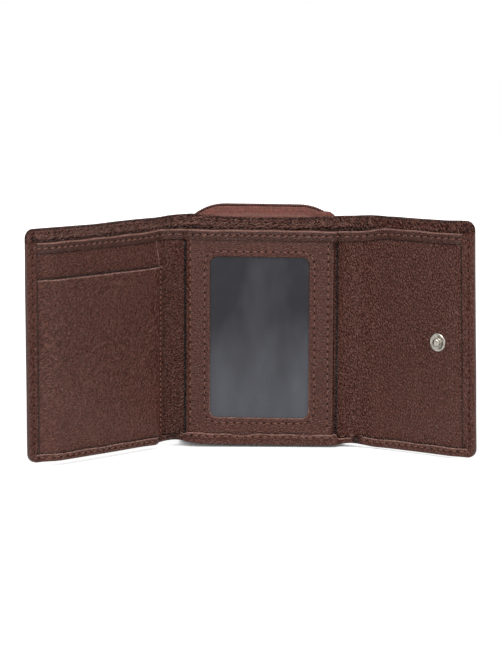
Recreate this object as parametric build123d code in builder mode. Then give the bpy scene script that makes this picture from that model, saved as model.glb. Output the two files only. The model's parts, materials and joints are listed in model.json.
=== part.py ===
from build123d import *
import os
from math import cos, radians, sin

# Trifold wallet with a zip coin pocket on its back, standing half open on its bottom edge.
# Millimetres. +Z is up, +X is to the right, +Y is to the back (the outside of the wallet).
# The origin is the middle of the centre panel's bottom edge, on the line of its inner face.
#
# The wallet is five stiff stretches of the same leather layers: left flap, left fold, centre,
# right fold and right flap. Each stretch is drawn in its own plane, whose local x points to the
# wallet's right, local y to the back and local z up. Depth is measured from the inner face:
# below 0 is what lies on the inner face, above 0 is the inner leather, the bill room and the shell.

# ---- driving dimensions ----
shell_height = 100.0        # outer leather, bottom edge to top edge
bill_drop = 5.3             # how far the inner layer stops below the shell's top edge
centre_width = 74.5         # between the two fold lines of the centre panel
right_flap_width = 49.9     # from its fold line to its free edge
tuck_play = 1.2             # the left flap is this much narrower than the centre
left_flap_angle = 44.0            # how far the left flap stands forward of the centre plane
right_flap_angle = 34.0           # how far the right flap stands forward of the centre plane
corner_radius = 4.0         # free corners of the flaps

# leather, lining and film
shell_leather = 1.1
inner_leather = 0.9
backing_leather = 0.6
pocket_leather = 0.7
frame_leather = 0.8
turned_leather = 0.8        # skived edge of the shell, turned to the front
binding_leather = 0.6
lining = 0.25
film = 0.2

# rooms between the layers
card_room = 0.8             # takes one ID-1 card, 0.76 thick
bill_room = 4.7             # bill compartment behind the centre, standing open
flap_room = 0.5             # the same compartment inside a flap
stack_play = 1.3            # left over between centre and left flap when they are shut
fold_play = 0.1             # each side of a fold line
fold_setback = 1.1          # what lies on the inner face starts this far from a fold line

# turned edges, hems and bindings
flap_edge = 5.0             # height and width of the turned edge on a flap
centre_edge = 5.8           # height of the turned edge under the ID pocket
hem_height = 4.8            # turned top edge of the shell
hem_leather = 0.4
binding_height = 4.5        # bound top edge of the inner layer
centre_lap = 2.4            # the centre shell runs on past its fold lines, behind the folds
flap_lap = 2.0              # a fold's shell strip runs on past the flap's fold line
lap_play = 0.4

# left card pocket
card_slot_drop = 14.6       # the pocket's mouth below the inner layer's top edge
pocket_seam = 3.2           # sewn margin round a pocket

# ID pocket
id_left_gap = 4.75          # from the left fold line to the pocket
id_right_gap = 5.25         # from the right fold line to the pocket
window_left_border = 10.1   # leather round the window
window_right_border = 11.4
window_top_border = 11.3
window_bottom = 12.0        # above the floor
window_radius = 3.2
film_margin = 3.0

# snap fastener
stud_from_edge = 17.6       # stud centre from the right flap's free edge
snap_height = 48.0
stud_base_radius = 4.05
stud_base = 0.7
stud_neck_radius = 1.3
stud_head_radius = 1.65
stud_neck = 0.6
stud_head = 0.8
snap_play = 0.2             # round the stud's head in the socket
snap_gap = 0.3              # between the socket and the stud's base when shut
socket_radius = 5.0
socket_height = 1.5
socket_base = 0.3
post_radius = 1.1
post_head_radius = 5.2
post_head = 0.9
inner_post_head = 0.35
post_play = 0.05

# coin pocket
coin_overhang = 0.95        # each side, beyond the centre panel
coin_rise = 3.6             # above the shell's top edge
coin_bottom = 1.0
coin_depth = 14.0
coin_radius = 22.0
coin_leather = 1.1
gusset_leather = 0.8
hinge_play = 0.3

# zip
tape_inset = 0.8            # the leather stands this far outside the tape
tape = 0.7
coil_inset = 0.4
coil_thickness = 1.5        # across the tape's face
coil_width = 1.1            # along the tape's width, one side's teeth
coil_gap = 0.7              # between the two sides, where the slider's web runs
stop_height = 1.5
stop_level = 11.8           # the coils start above the stops
slider_play = 0.3
slider_plate = 1.2
slider_length = 9.0
slider_nose = 6.8           # widest
slider_tail = 5.0
slider_web = 0.4
slider_web_length = 5.0
bail_room = 0.6
bail_wire = 0.8
bail_width = 1.6
bail_length = 6.0
ring_radius = 3.3
ring_wire = 0.45
tab_width = 4.6
tab_length = 12.4
tab_thickness = 0.8
tab_hole = 1.0
tab_rim = 1.2               # metal above the tab's hole
overrun = 5.0               # cutters run this far past what they cut

# ---- worked out ----
half_centre = centre_width / 2
inner_height = shell_height - bill_drop
layer_top = inner_height - binding_leather
inside_radius = corner_radius - shell_leather
layer_setback = fold_setback + fold_play
inner_back = inner_leather + lining
centre_shell_depth = inner_back + bill_room + lining
flap_shell_depth = inner_back + flap_room + lining
flap_back = flap_shell_depth + shell_leather
centre_back = centre_shell_depth + shell_leather

id_left = -half_centre + id_left_gap
id_right = half_centre - id_right_gap
window_left = id_left + window_left_border
window_right = id_right - window_right_border
window_top = layer_top - window_top_border
id_front = card_room + film + frame_leather
card_front = backing_leather + card_room + pocket_leather
left_fold_width = id_front + card_front + 2 * turned_leather + stack_play
left_flap_width = centre_width - tuck_play
card_slot_height = inner_height - card_slot_drop
right_fold_width = left_fold_width + flap_back + socket_height + snap_gap + stud_base

stud_x = right_flap_width - stud_from_edge
socket_x = -(centre_width - stud_x)

coin_half_width = half_centre + coin_overhang
coin_top = shell_height + coin_rise
coil_line = centre_back + coin_depth / 2
coin_back = centre_back + coin_depth
coin_inner = coin_back - coin_leather


def stretch(origin, turn):
    """Return the plan plane of a stretch of the wallet, turned about +Z at a fold line."""
    direction = (cos(radians(turn)), sin(radians(turn)), 0)
    return Plane(origin=origin, x_dir=direction, z_dir=(0, 0, 1))


def past(plan, x):
    """Return the floor point at local x of a stretch."""
    return plan.from_local_coords((x, 0, 0))


def wall(plan, depth):
    """Return the upright plane at a depth behind a stretch's inner face, facing the front."""
    return Plane(origin=plan.origin, x_dir=plan.x_dir, z_dir=-plan.y_dir).offset(-depth)


def spot(plan, depth, x, z):
    """Return the upright plane at a depth with its origin at local x and height z."""
    face = wall(plan, depth)
    return Plane(origin=face.from_local_coords((x, z, 0)), x_dir=face.x_dir, z_dir=face.z_dir)


def span(x0, x1, z0, z1, mode=Mode.ADD):
    """Add the rectangle between two local x values and two heights to the open sketch."""
    with Locations(((x0 + x1) / 2, (z0 + z1) / 2)):
        Rectangle(abs(x1 - x0), abs(z1 - z0), mode=mode)


def sheet(plan, depth, thickness, x0, x1, z0, z1):
    """Make a flat rectangular sheet of a stretch."""
    with BuildPart() as made:
        with BuildSketch(wall(plan, depth)):
            span(x0, x1, z0, z1)
        extrude(amount=-thickness)
    return made


def free_corners(outline, side):
    """Return the two corners of a flap's drawn outline that lie on its free edge, lower one first."""
    corners = outline.vertices().sort_by(Axis.X)
    outer = corners[-2:] if side > 0 else corners[:2]
    return outer.sort_by(Axis.Y)


def flap_sheet(plan, side, width, depth, thickness, top, inner_end=fold_play):
    """Make a sheet that fills a flap's shell from its free edge to near its fold line."""
    with BuildPart() as made:
        with BuildSketch(wall(plan, depth)) as outline:
            span(side * (width - shell_leather), side * inner_end, shell_leather, top)
            fillet(free_corners(outline, side)[0], inside_radius)
        extrude(amount=-thickness)
    return made


def write(made, name):
    """Label a finished piece and write its STEP file."""
    made.part.label = name
    export_step(made.part, f"parts/{name}.step")


os.makedirs("parts", exist_ok=True)

centre = stretch((0, 0, 0), 0)
left_fold = stretch(past(centre, -half_centre), left_flap_angle / 2)
left_flap = stretch(past(left_fold, -left_fold_width), left_flap_angle)
right_fold = stretch(past(centre, half_centre), -right_flap_angle / 2)
right_flap = stretch(past(right_fold, right_fold_width), -right_flap_angle)

# ---- centre panel ----
centre_end = half_centre - fold_play
centre_front_end = half_centre - layer_setback

# outer leather: back plate, bottom edge turned under the layers and up on the front, top hem
with BuildPart() as centre_shell:
    with BuildSketch(wall(centre, centre_shell_depth)):
        span(-half_centre - centre_lap, half_centre + centre_lap, 0, shell_height)
    extrude(amount=-shell_leather)
    with BuildSketch(wall(centre, 0)):
        span(-centre_end, centre_end, 0, shell_leather)
    extrude(amount=-centre_shell_depth)
    with BuildSketch(wall(centre, -id_front - turned_leather)):
        span(-centre_front_end, centre_front_end, 0, shell_leather)
    extrude(amount=-(id_front + turned_leather))
    with BuildSketch(wall(centre, -id_front - turned_leather)):
        span(-centre_front_end, centre_front_end, 0, centre_edge)
    extrude(amount=-turned_leather)
    with BuildSketch(wall(centre, centre_shell_depth - hem_leather)):
        span(-centre_end, centre_end, shell_height - hem_height, shell_height)
    extrude(amount=-hem_leather)
    front_corners = centre_shell.edges().filter_by(Axis.X).group_by(Axis.Y)[0].group_by(Axis.Z)[-1]
    fillet(front_corners, turned_leather / 2)
write(centre_shell, "centre_shell")

centre_inner_leather = sheet(centre, 0, inner_leather, -centre_end, centre_end, shell_leather, layer_top)
write(centre_inner_leather, "centre_inner_leather")

centre_inner_lining = sheet(centre, inner_leather, lining, -centre_end, centre_end, shell_leather, layer_top)
write(centre_inner_lining, "centre_inner_lining")

centre_shell_lining = sheet(
    centre, centre_shell_depth - lining, lining,
    -centre_end, centre_end, shell_leather, shell_height - hem_height,
)
write(centre_shell_lining, "centre_shell_lining")

# bound top edge: a front leg over the ID pocket, a lower leg each side of it, and the top
with BuildPart() as centre_top_binding:
    with BuildSketch(wall(centre, -id_front - binding_leather)):
        span(id_left, id_right, inner_height - binding_height, inner_height)
    extrude(amount=-binding_leather)
    with BuildSketch(wall(centre, -id_front)):
        span(id_left, id_right, layer_top, inner_height)
    extrude(amount=-id_front)
    with BuildSketch(wall(centre, -binding_leather)):
        span(-centre_front_end, id_left, inner_height - binding_height, inner_height)
        span(id_right, centre_front_end, inner_height - binding_height, inner_height)
    extrude(amount=-binding_leather)
    with BuildSketch(wall(centre, 0)):
        span(-centre_end, centre_end, layer_top, inner_height)
    extrude(amount=-inner_back)
write(centre_top_binding, "centre_top_binding")

# ---- ID pocket: leather frame, closed left, bottom and top, open to the right ----
window_width = window_right - window_left
window_height = window_top - window_bottom
with BuildPart() as id_pocket_frame:
    with BuildSketch(wall(centre, -id_front)):
        span(id_left, id_right, shell_leather, layer_top)
        with Locations((window_left + window_width / 2, window_bottom + window_height / 2)):
            RectangleRounded(window_width, window_height, window_radius, mode=Mode.SUBTRACT)
    extrude(amount=-frame_leather)
    with BuildSketch(wall(centre, -card_room - film)):
        span(id_left, id_right, shell_leather, shell_leather + pocket_seam)
        span(id_left, id_right, layer_top - pocket_seam, layer_top)
        span(id_left, id_left + pocket_seam, shell_leather, layer_top)
    extrude(amount=-(card_room + film))
write(id_pocket_frame, "id_pocket_frame")

with BuildPart() as id_window_film:
    with BuildSketch(wall(centre, -card_room - film)):
        span(window_left - film_margin, window_right + film_margin,
             window_bottom - film_margin, window_top + film_margin)
    extrude(amount=-film)
write(id_window_film, "id_window_film")


# ---- folds ----
def fold_shell(plan, side, width):
    """Make a fold's outer leather: a strip inside the centre's lap and outside the flap's shell."""
    start = centre_shell_depth - lap_play - shell_leather
    end = flap_back + lap_play
    reach = width + flap_lap
    with BuildPart() as made:
        with BuildSketch(plan):
            Polygon(
                (side * fold_play, start),
                (side * reach, end),
                (side * reach, end + shell_leather),
                (side * fold_play, start + shell_leather),
                align=None,
            )
        extrude(amount=shell_height)
        slope = (end - start) / (reach - fold_play)
        with BuildSketch(plan):
            Polygon(
                (side * fold_play, 0),
                (side * (width - fold_play), 0),
                (side * (width - fold_play), start + slope * (width - 2 * fold_play)),
                (side * fold_play, start),
                align=None,
            )
        extrude(amount=shell_leather)
        with BuildSketch(plan):
            with Locations((side * width / 2, -turned_leather / 2)):
                Rectangle(width - 2 * layer_setback, turned_leather)
        extrude(amount=flap_edge)
    return made


def fold_binding(plan, side, width):
    """Make the bound top edge of a fold's inner layer."""
    leg_bottom = inner_height - binding_height
    with BuildPart() as made:
        with BuildSketch(wall(plan, -binding_leather)):
            span(side * layer_setback, side * (width - layer_setback), leg_bottom, inner_height)
        extrude(amount=-binding_leather)
        with BuildSketch(wall(plan, 0)):
            span(side * fold_play, side * (width - fold_play), layer_top, inner_height)
        extrude(amount=-inner_back)
    return made


for name, plan, side, width in (
    ("left", left_fold, -1, left_fold_width),
    ("right", right_fold, 1, right_fold_width),
):
    near, far = side * fold_play, side * (width - fold_play)
    write(fold_shell(plan, side, width), f"{name}_fold_shell")
    write(sheet(plan, 0, inner_leather, near, far, shell_leather, layer_top), f"{name}_fold_inner_leather")
    write(sheet(plan, inner_leather, lining, near, far, shell_leather, layer_top), f"{name}_fold_lining")
    write(fold_binding(plan, side, width), f"{name}_fold_top_binding")


# ---- flaps ----
def flap_shell(plan, side, width, front, hole_x):
    """Make a flap's outer leather, with its bottom and free edges turned to the front."""
    with BuildPart() as made:
        with BuildSketch(wall(plan, -front - turned_leather)) as outline:
            span(side * width, side * fold_play, 0, shell_height)
            fillet(free_corners(outline, side), corner_radius)
        extrude(amount=-(front + turned_leather + flap_back))
        with BuildSketch(wall(plan, -front)) as room:
            span(side * (width - shell_leather), -side * overrun, shell_leather, shell_height + overrun)
            fillet(free_corners(room, side)[0], inside_radius)
        extrude(amount=-(front + flap_shell_depth), mode=Mode.SUBTRACT)
        with BuildSketch(wall(plan, -front - turned_leather)):
            span(side * (width - flap_edge), -side * overrun, flap_edge, shell_height + overrun)
        extrude(amount=-turned_leather, mode=Mode.SUBTRACT)
        with BuildSketch(wall(plan, -front - turned_leather)):
            span(side * layer_setback, -side * overrun, -overrun, shell_height + overrun)
        extrude(amount=-(front + turned_leather), mode=Mode.SUBTRACT)
        with BuildSketch(wall(plan, flap_shell_depth - hem_leather)):
            span(side * (width - corner_radius), side * fold_play, shell_height - hem_height, shell_height)
        extrude(amount=-hem_leather)
        with BuildSketch(spot(plan, 0, side * hole_x, snap_height)):
            Circle(post_radius + post_play)
        extrude(amount=-flap_back - overrun, mode=Mode.SUBTRACT)
    return made


def pierced(made, plan, x):
    """Cut the snap post's hole through a flap's sheet."""
    with BuildPart() as cut:
        add(made.part)
        with BuildSketch(spot(plan, -overrun, x, snap_height)):
            Circle(post_radius + post_play)
        extrude(amount=-flap_back - 2 * overrun, mode=Mode.SUBTRACT)
    return cut


def flap_binding(plan, side, width, front):
    """Make the bound top edge of a flap's inner layer.

    On a bare flap its front leg ends at the shell's turned edge.
    """
    free = side * (width - shell_leather)
    leg_end = free if front > 0 else side * (width - flap_edge)
    with BuildPart() as made:
        with BuildSketch(wall(plan, -front - binding_leather)):
            span(leg_end, side * layer_setback, inner_height - binding_height, inner_height)
        extrude(amount=-binding_leather)
        if front > 0:
            with BuildSketch(wall(plan, -front)):
                span(free, side * layer_setback, layer_top, inner_height)
            extrude(amount=-front)
        with BuildSketch(wall(plan, 0)):
            span(free, side * fold_play, layer_top, inner_height)
        extrude(amount=-inner_back)
    return made


write(flap_shell(left_flap, -1, left_flap_width, card_front, -socket_x), "left_shell")
left_inner_leather = flap_sheet(left_flap, -1, left_flap_width, 0, inner_leather, layer_top)
write(left_inner_leather, "left_inner_leather")
left_inner_lining = flap_sheet(left_flap, -1, left_flap_width, inner_leather, lining, layer_top)
write(left_inner_lining, "left_inner_lining")
left_shell_lining = pierced(
    flap_sheet(left_flap, -1, left_flap_width, flap_shell_depth - lining, lining, shell_height - hem_height),
    left_flap, socket_x,
)
write(left_shell_lining, "left_shell_lining")
write(flap_binding(left_flap, -1, left_flap_width, backing_leather), "left_top_binding")

left_card_backing = flap_sheet(
    left_flap, -1, left_flap_width, -backing_leather, backing_leather, layer_top, layer_setback,
)
write(left_card_backing, "left_card_backing")

# card pocket: a front sheet on a sewn margin that is open at the top
pocket_free = left_flap_width - shell_leather
with BuildPart() as left_card_pocket:
    with BuildSketch(wall(left_flap, -card_front)) as outline:
        span(-pocket_free, -layer_setback, shell_leather, card_slot_height)
        fillet(free_corners(outline, -1)[0], inside_radius)
    extrude(amount=-(pocket_leather + card_room))
    with BuildSketch(wall(left_flap, -card_front + pocket_leather)):
        span(-pocket_free + pocket_seam, -layer_setback - pocket_seam,
             shell_leather + pocket_seam, card_slot_height + overrun)
    extrude(amount=-card_room, mode=Mode.SUBTRACT)
write(left_card_pocket, "left_card_pocket")

write(flap_shell(right_flap, 1, right_flap_width, 0, stud_x), "right_shell")
right_inner_leather = pierced(
    flap_sheet(right_flap, 1, right_flap_width, 0, inner_leather, layer_top), right_flap, stud_x,
)
write(right_inner_leather, "right_inner_leather")
right_inner_lining = pierced(
    flap_sheet(right_flap, 1, right_flap_width, inner_leather, lining, layer_top), right_flap, stud_x,
)
write(right_inner_lining, "right_inner_lining")
right_shell_lining = pierced(
    flap_sheet(right_flap, 1, right_flap_width, flap_shell_depth - lining, lining, shell_height - hem_height),
    right_flap, stud_x,
)
write(right_shell_lining, "right_shell_lining")
write(flap_binding(right_flap, 1, right_flap_width, 0), "right_top_binding")

# ---- snap fastener ----
# stud on the right flap's inner face, held by a post whose round head shows outside
stud_face = spot(right_flap, 0, stud_x, snap_height)
with BuildPart() as snap_stud:
    with BuildSketch(stud_face):
        Circle(stud_base_radius)
    extrude(amount=stud_base)
    fillet(snap_stud.edges().filter_by(GeomType.CIRCLE), stud_base / 3)
    with BuildSketch(stud_face.offset(stud_base)):
        Circle(stud_neck_radius)
    extrude(amount=stud_neck)
    with BuildSketch(stud_face.offset(stud_base + stud_neck)):
        Circle(stud_head_radius)
    extrude(amount=stud_head)
    fillet(snap_stud.faces().sort_by(Axis(stud_face.origin, stud_face.z_dir))[-1].edges(), stud_head / 3)
write(snap_stud, "snap_stud")

with BuildPart() as snap_stud_post:
    with BuildSketch(stud_face):
        Circle(post_radius)
    extrude(amount=-flap_back)
    with BuildSketch(stud_face.offset(-flap_back)):
        Circle(post_head_radius)
    extrude(amount=-post_head)
    fillet(snap_stud_post.faces().sort_by(Axis(stud_face.origin, stud_face.z_dir))[0].edges(), post_head / 2)
write(snap_stud_post, "snap_stud_post")

# socket on the left flap's outer face, riveted to a post whose head lies inside the bill room
socket_face = spot(left_flap, flap_back, socket_x, snap_height)
with BuildPart() as snap_socket:
    with BuildSketch(socket_face):
        Circle(socket_radius)
    extrude(amount=-socket_height)
    socket_rim = snap_socket.faces().sort_by(Axis(socket_face.origin, socket_face.z_dir))[0]
    fillet(socket_rim.edges(), socket_height / 3)
    with BuildSketch(socket_face.offset(-socket_base)):
        Circle(stud_head_radius + snap_play)
    extrude(amount=-socket_height, mode=Mode.SUBTRACT)
    with BuildSketch(socket_face):
        Circle(post_radius)
    extrude(amount=-socket_base, mode=Mode.SUBTRACT)
write(snap_socket, "snap_socket")

with BuildPart() as snap_socket_post:
    with BuildSketch(spot(left_flap, inner_back + fold_play, socket_x, snap_height)):
        Circle(post_head_radius)
    extrude(amount=-inner_post_head)
    with BuildSketch(spot(left_flap, inner_back + fold_play, socket_x, snap_height)):
        Circle(post_radius)
    extrude(amount=-(flap_back + socket_base - inner_back - fold_play))
write(snap_socket_post, "snap_socket_post")


# ---- coin pocket and zip ----
def arch(inset, bottom):
    """Return the coin pocket's outline, drawn in by an inset, as a sketch."""
    with BuildSketch(Plane.XY) as outline:
        half = coin_half_width - inset
        span(-half, half, bottom, coin_top - inset)
        fillet(outline.vertices().group_by(Axis.Y)[-1], coin_radius - inset)
    return outline.sketch


def arch_band(depth, width, outer, thickness, bottom):
    """Make a band that follows the arch at an inset, open at the bottom."""
    with BuildPart() as made:
        with BuildSketch(wall(centre, depth)):
            add(arch(outer, bottom))
            add(arch(outer + thickness, bottom - overrun), mode=Mode.SUBTRACT)
        extrude(amount=-width)
    return made


def zip_stops(depth):
    """Make the two end stops of one side of the zip, one at each foot of the arch."""
    with BuildPart() as made:
        with BuildSketch(wall(centre, depth)):
            for side in (-1, 1):
                outer = side * (coin_half_width - coil_inset)
                span(outer, outer - side * coil_thickness, stop_level, stop_level + stop_height)
        extrude(amount=-coil_width)
    return made


gusset_top = coin_bottom + gusset_leather
coil_bottom = stop_level + stop_height
front_coil_depth = coil_line - coil_gap / 2 - coil_width
rear_coil_depth = coil_line + coil_gap / 2
tape_bottom = gusset_top + hinge_play

front_tape = arch_band(centre_back, front_coil_depth - centre_back, tape_inset, tape, gusset_top)
write(front_tape, "coin_front_tape")
front_coil = arch_band(front_coil_depth, coil_width, coil_inset, coil_thickness, coil_bottom)
write(front_coil, "zip_front_coil")
write(zip_stops(front_coil_depth), "zip_front_stops")

lining_inset = tape_inset + tape
with BuildPart() as coin_front_lining:
    with BuildSketch(wall(centre, centre_back)):
        add(arch(lining_inset, gusset_top))
    extrude(amount=-lining)
write(coin_front_lining, "coin_front_lining")

coin_bottom_gusset = sheet(
    centre, centre_back, coin_inner - hinge_play - centre_back,
    -coin_half_width + tape_inset, coin_half_width - tape_inset, coin_bottom, gusset_top,
)
write(coin_bottom_gusset, "coin_bottom_gusset")

with BuildPart() as coin_panel_leather:
    with BuildSketch(wall(centre, coin_inner)):
        add(arch(0, coin_bottom))
    extrude(amount=-coin_leather)
    fillet(coin_panel_leather.faces().sort_by(Axis.Y)[-1].edges(), coin_leather / 3)
write(coin_panel_leather, "coin_panel_leather")

with BuildPart() as coin_panel_lining:
    with BuildSketch(wall(centre, coin_inner - lining)):
        add(arch(lining_inset, tape_bottom))
    extrude(amount=-lining)
write(coin_panel_lining, "coin_panel_lining")

rear_tape_depth = rear_coil_depth + coil_width
rear_tape = arch_band(rear_tape_depth, coin_inner - rear_tape_depth, tape_inset, tape, tape_bottom)
write(rear_tape, "coin_rear_tape")
rear_coil = arch_band(rear_coil_depth, coil_width, coil_inset, coil_thickness, coil_bottom)
write(rear_coil, "zip_rear_coil")
write(zip_stops(rear_coil_depth), "zip_rear_stops")

# slider on the left run of the zip: two plates joined by a web between the two coils
slider_bottom = coil_bottom + slider_play
slider_middle = slider_bottom + slider_length / 2
coil_face = -(coin_half_width - coil_inset)
outer_plate_face = coil_face - slider_play
inner_plate_face = coil_face + coil_thickness + slider_play


def side_plane(x):
    """Return the upright plane across the zip's left run, its local x to the back and y up."""
    return Plane(origin=(x, coil_line, slider_middle), x_dir=(0, 1, 0), z_dir=(1, 0, 0))


with BuildPart() as zip_slider:
    for face in (outer_plate_face - slider_plate, inner_plate_face):
        with BuildSketch(side_plane(face)) as outline:
            Polygon(
                (-slider_nose / 2, -slider_length / 2),
                (slider_nose / 2, -slider_length / 2),
                (slider_tail / 2, slider_length / 2),
                (-slider_tail / 2, slider_length / 2),
                align=None,
            )
            fillet(outline.vertices(), slider_plate)
        extrude(amount=slider_plate)
    with BuildSketch(side_plane(outer_plate_face)):
        with Locations((0, -(slider_length - slider_web_length) / 2)):
            Rectangle(slider_web, slider_web_length)
    extrude(amount=inner_plate_face - outer_plate_face)
write(zip_slider, "zip_slider")

plate_outside = outer_plate_face - slider_plate
pivot_x = plate_outside - bail_room - ring_wire
bail_inside = pivot_x - ring_wire - slider_play / 2
with BuildPart() as zip_slider_bail:
    with BuildSketch(wall(centre, coil_line - bail_width / 2)) as arch_side:
        span(plate_outside, bail_inside - bail_wire,
             slider_middle - bail_length / 2, slider_middle + bail_length / 2)
        fillet(arch_side.vertices().group_by(Axis.X)[0], bail_wire)
        span(plate_outside + overrun, bail_inside,
             slider_middle - bail_length / 2 + bail_wire, slider_middle + bail_length / 2 - bail_wire,
             mode=Mode.SUBTRACT)
    extrude(amount=-bail_width)
write(zip_slider_bail, "zip_slider_bail")

# ring through the bail, and the tab that hangs on it, flat to the front
ring_middle = slider_middle - ring_radius
with BuildPart() as zip_pull_ring:
    with Locations(Location((pivot_x, coil_line, ring_middle), (0, 90, 0))):
        Torus(ring_radius, ring_wire)
write(zip_pull_ring, "zip_pull_ring")

hole_height = ring_middle - ring_radius - (tab_hole - ring_wire) + fold_play
tab_top = hole_height + tab_hole + tab_rim
with BuildPart() as zip_pull_tab:
    with BuildSketch(wall(centre, coil_line - tab_thickness / 2)) as tab_outline:
        span(pivot_x - tab_width / 2, pivot_x + tab_width / 2, tab_top - tab_length, tab_top)
        fillet(tab_outline.vertices(), tab_width / 3)
        with Locations((pivot_x, hole_height)):
            Circle(tab_hole, mode=Mode.SUBTRACT)
    extrude(amount=-tab_thickness)
write(zip_pull_tab, "zip_pull_tab")
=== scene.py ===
"""Looks of the trifold wallet: bent leather skins, stitching, zip, snap and studio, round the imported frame.

Leather is drawn flat, as if the wallet lay open: along the wallet, depth behind the inner face, and
height, in millimetres. Plan then bends it round the four fold lines that the joints give.
"""

import json  # noqa: E402
import logging  # noqa: E402
import math  # noqa: E402
from collections.abc import Callable, Sequence  # noqa: E402
from dataclasses import dataclass  # noqa: E402
from enum import Enum  # noqa: E402

import bmesh  # noqa: E402
import bpy  # noqa: E402
import numpy as np  # noqa: E402
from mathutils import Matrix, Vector  # noqa: E402


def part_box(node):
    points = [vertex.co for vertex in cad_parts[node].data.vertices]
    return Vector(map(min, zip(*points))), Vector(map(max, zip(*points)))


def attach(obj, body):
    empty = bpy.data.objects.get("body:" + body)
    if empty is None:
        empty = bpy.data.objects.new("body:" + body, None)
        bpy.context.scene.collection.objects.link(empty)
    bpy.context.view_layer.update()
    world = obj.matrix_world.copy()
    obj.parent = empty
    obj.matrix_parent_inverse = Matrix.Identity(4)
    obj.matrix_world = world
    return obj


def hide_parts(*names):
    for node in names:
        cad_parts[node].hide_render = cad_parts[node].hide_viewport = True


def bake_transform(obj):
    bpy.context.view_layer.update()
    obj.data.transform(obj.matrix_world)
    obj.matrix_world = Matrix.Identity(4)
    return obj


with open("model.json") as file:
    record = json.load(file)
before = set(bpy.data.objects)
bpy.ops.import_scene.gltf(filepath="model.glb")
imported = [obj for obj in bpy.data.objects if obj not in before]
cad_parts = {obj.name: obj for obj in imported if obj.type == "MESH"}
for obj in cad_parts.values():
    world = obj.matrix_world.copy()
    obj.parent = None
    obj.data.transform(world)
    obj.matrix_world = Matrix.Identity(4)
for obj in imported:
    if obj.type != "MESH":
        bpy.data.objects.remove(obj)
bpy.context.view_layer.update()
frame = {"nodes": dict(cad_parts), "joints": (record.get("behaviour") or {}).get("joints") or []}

MM = 0.001
FLOOR_LEVEL = -0.0014       # just under the lowest leather, in metres
log = logging.getLogger("wallet")


# ---------------------------------------------------------------- small helpers


def smooth(value: np.ndarray | float, low: float, high: float) -> np.ndarray | float:
    """Return 0 below low, 1 above high and an even S curve between them."""
    share = np.clip((value - low) / (high - low), 0.0, 1.0)
    return share * share * (3 - 2 * share)


def bump(value: np.ndarray | float, middle: float, reach: float) -> np.ndarray | float:
    """Return a smooth hump that is 1 at the middle and 0 beyond its reach."""
    return smooth(reach - abs(value - middle), 0.0, reach)


def mix(first: float, second: float, share: float) -> float:
    """Return the value that lies that share of the way from the first to the second."""
    return first + (second - first) * share


def graded(start: float, stop: float, step: float, fine: Sequence[float] = ()) -> np.ndarray:
    """Return even values from start to stop, with closer ones at both ends.

    Args:
        start: first value.
        stop: last value, above the first.
        step: largest gap in the middle.
        fine: distances from each end that get a value of their own, in rising order.

    Returns:
        The rising values.
    """
    near = [0.0, *(f for f in fine if f < (stop - start) / 2)]
    count = max(1, math.ceil((stop - start - 2 * near[-1]) / step))
    middle = np.linspace(start + near[-1], stop - near[-1], count + 1)
    ends = [start + f for f in near] + [stop - f for f in near]
    return np.unique(np.round(np.concatenate([middle, ends]), 6))


def rounded_rim(share: np.ndarray) -> np.ndarray:
    """Return the thickness of a round rim: 0 at the rim, and 1 from a share of 1 inwards."""
    return np.sqrt(np.clip(1 - (1 - np.clip(share, 0, 1)) ** 2, 0, 1))


def ringed(*parts: np.ndarray) -> list[np.ndarray]:
    """Return arrays with their first row once more at their end."""
    return [np.concatenate([part, part[:1]]) for part in parts]


def joined(parts: Sequence[tuple], member: int, rows: int) -> np.ndarray:
    """Return one member of each part of a cross-section, side by side, as stations x points.

    Args:
        parts: the parts, each a tuple whose last member has one value for each point.
        member: which member.
        rows: number of stations.
    """
    return np.concatenate([np.broadcast_to(part[member], (rows, np.shape(part[-1])[-1])) for part in parts], axis=1)


def link(obj: bpy.types.Object) -> bpy.types.Object:
    """Put an object in the scene and return it."""
    bpy.context.scene.collection.objects.link(obj)
    return obj


# ---------------------------------------------------------------- the wallet's plan


class Stretch(Enum):
    """The five stretches of leather, each with the bodies that it follows."""

    LEFT_FLAP = ("left_fold", "left_flap")
    LEFT_FOLD = ("centre", "left_fold")
    CENTRE = ("centre",)
    RIGHT_FOLD = ("centre", "right_fold")
    RIGHT_FLAP = ("right_fold", "right_flap")


@dataclass(frozen=True)
class Crease:
    """A fold line, with where the leather bends round it.

    Attributes:
        at: place along the wallet.
        turn: how far the plan line turns there, in degrees, as the place grows.
        reach: half the length of leather that bends.
    """

    at: float
    turn: float
    reach: float


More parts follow.
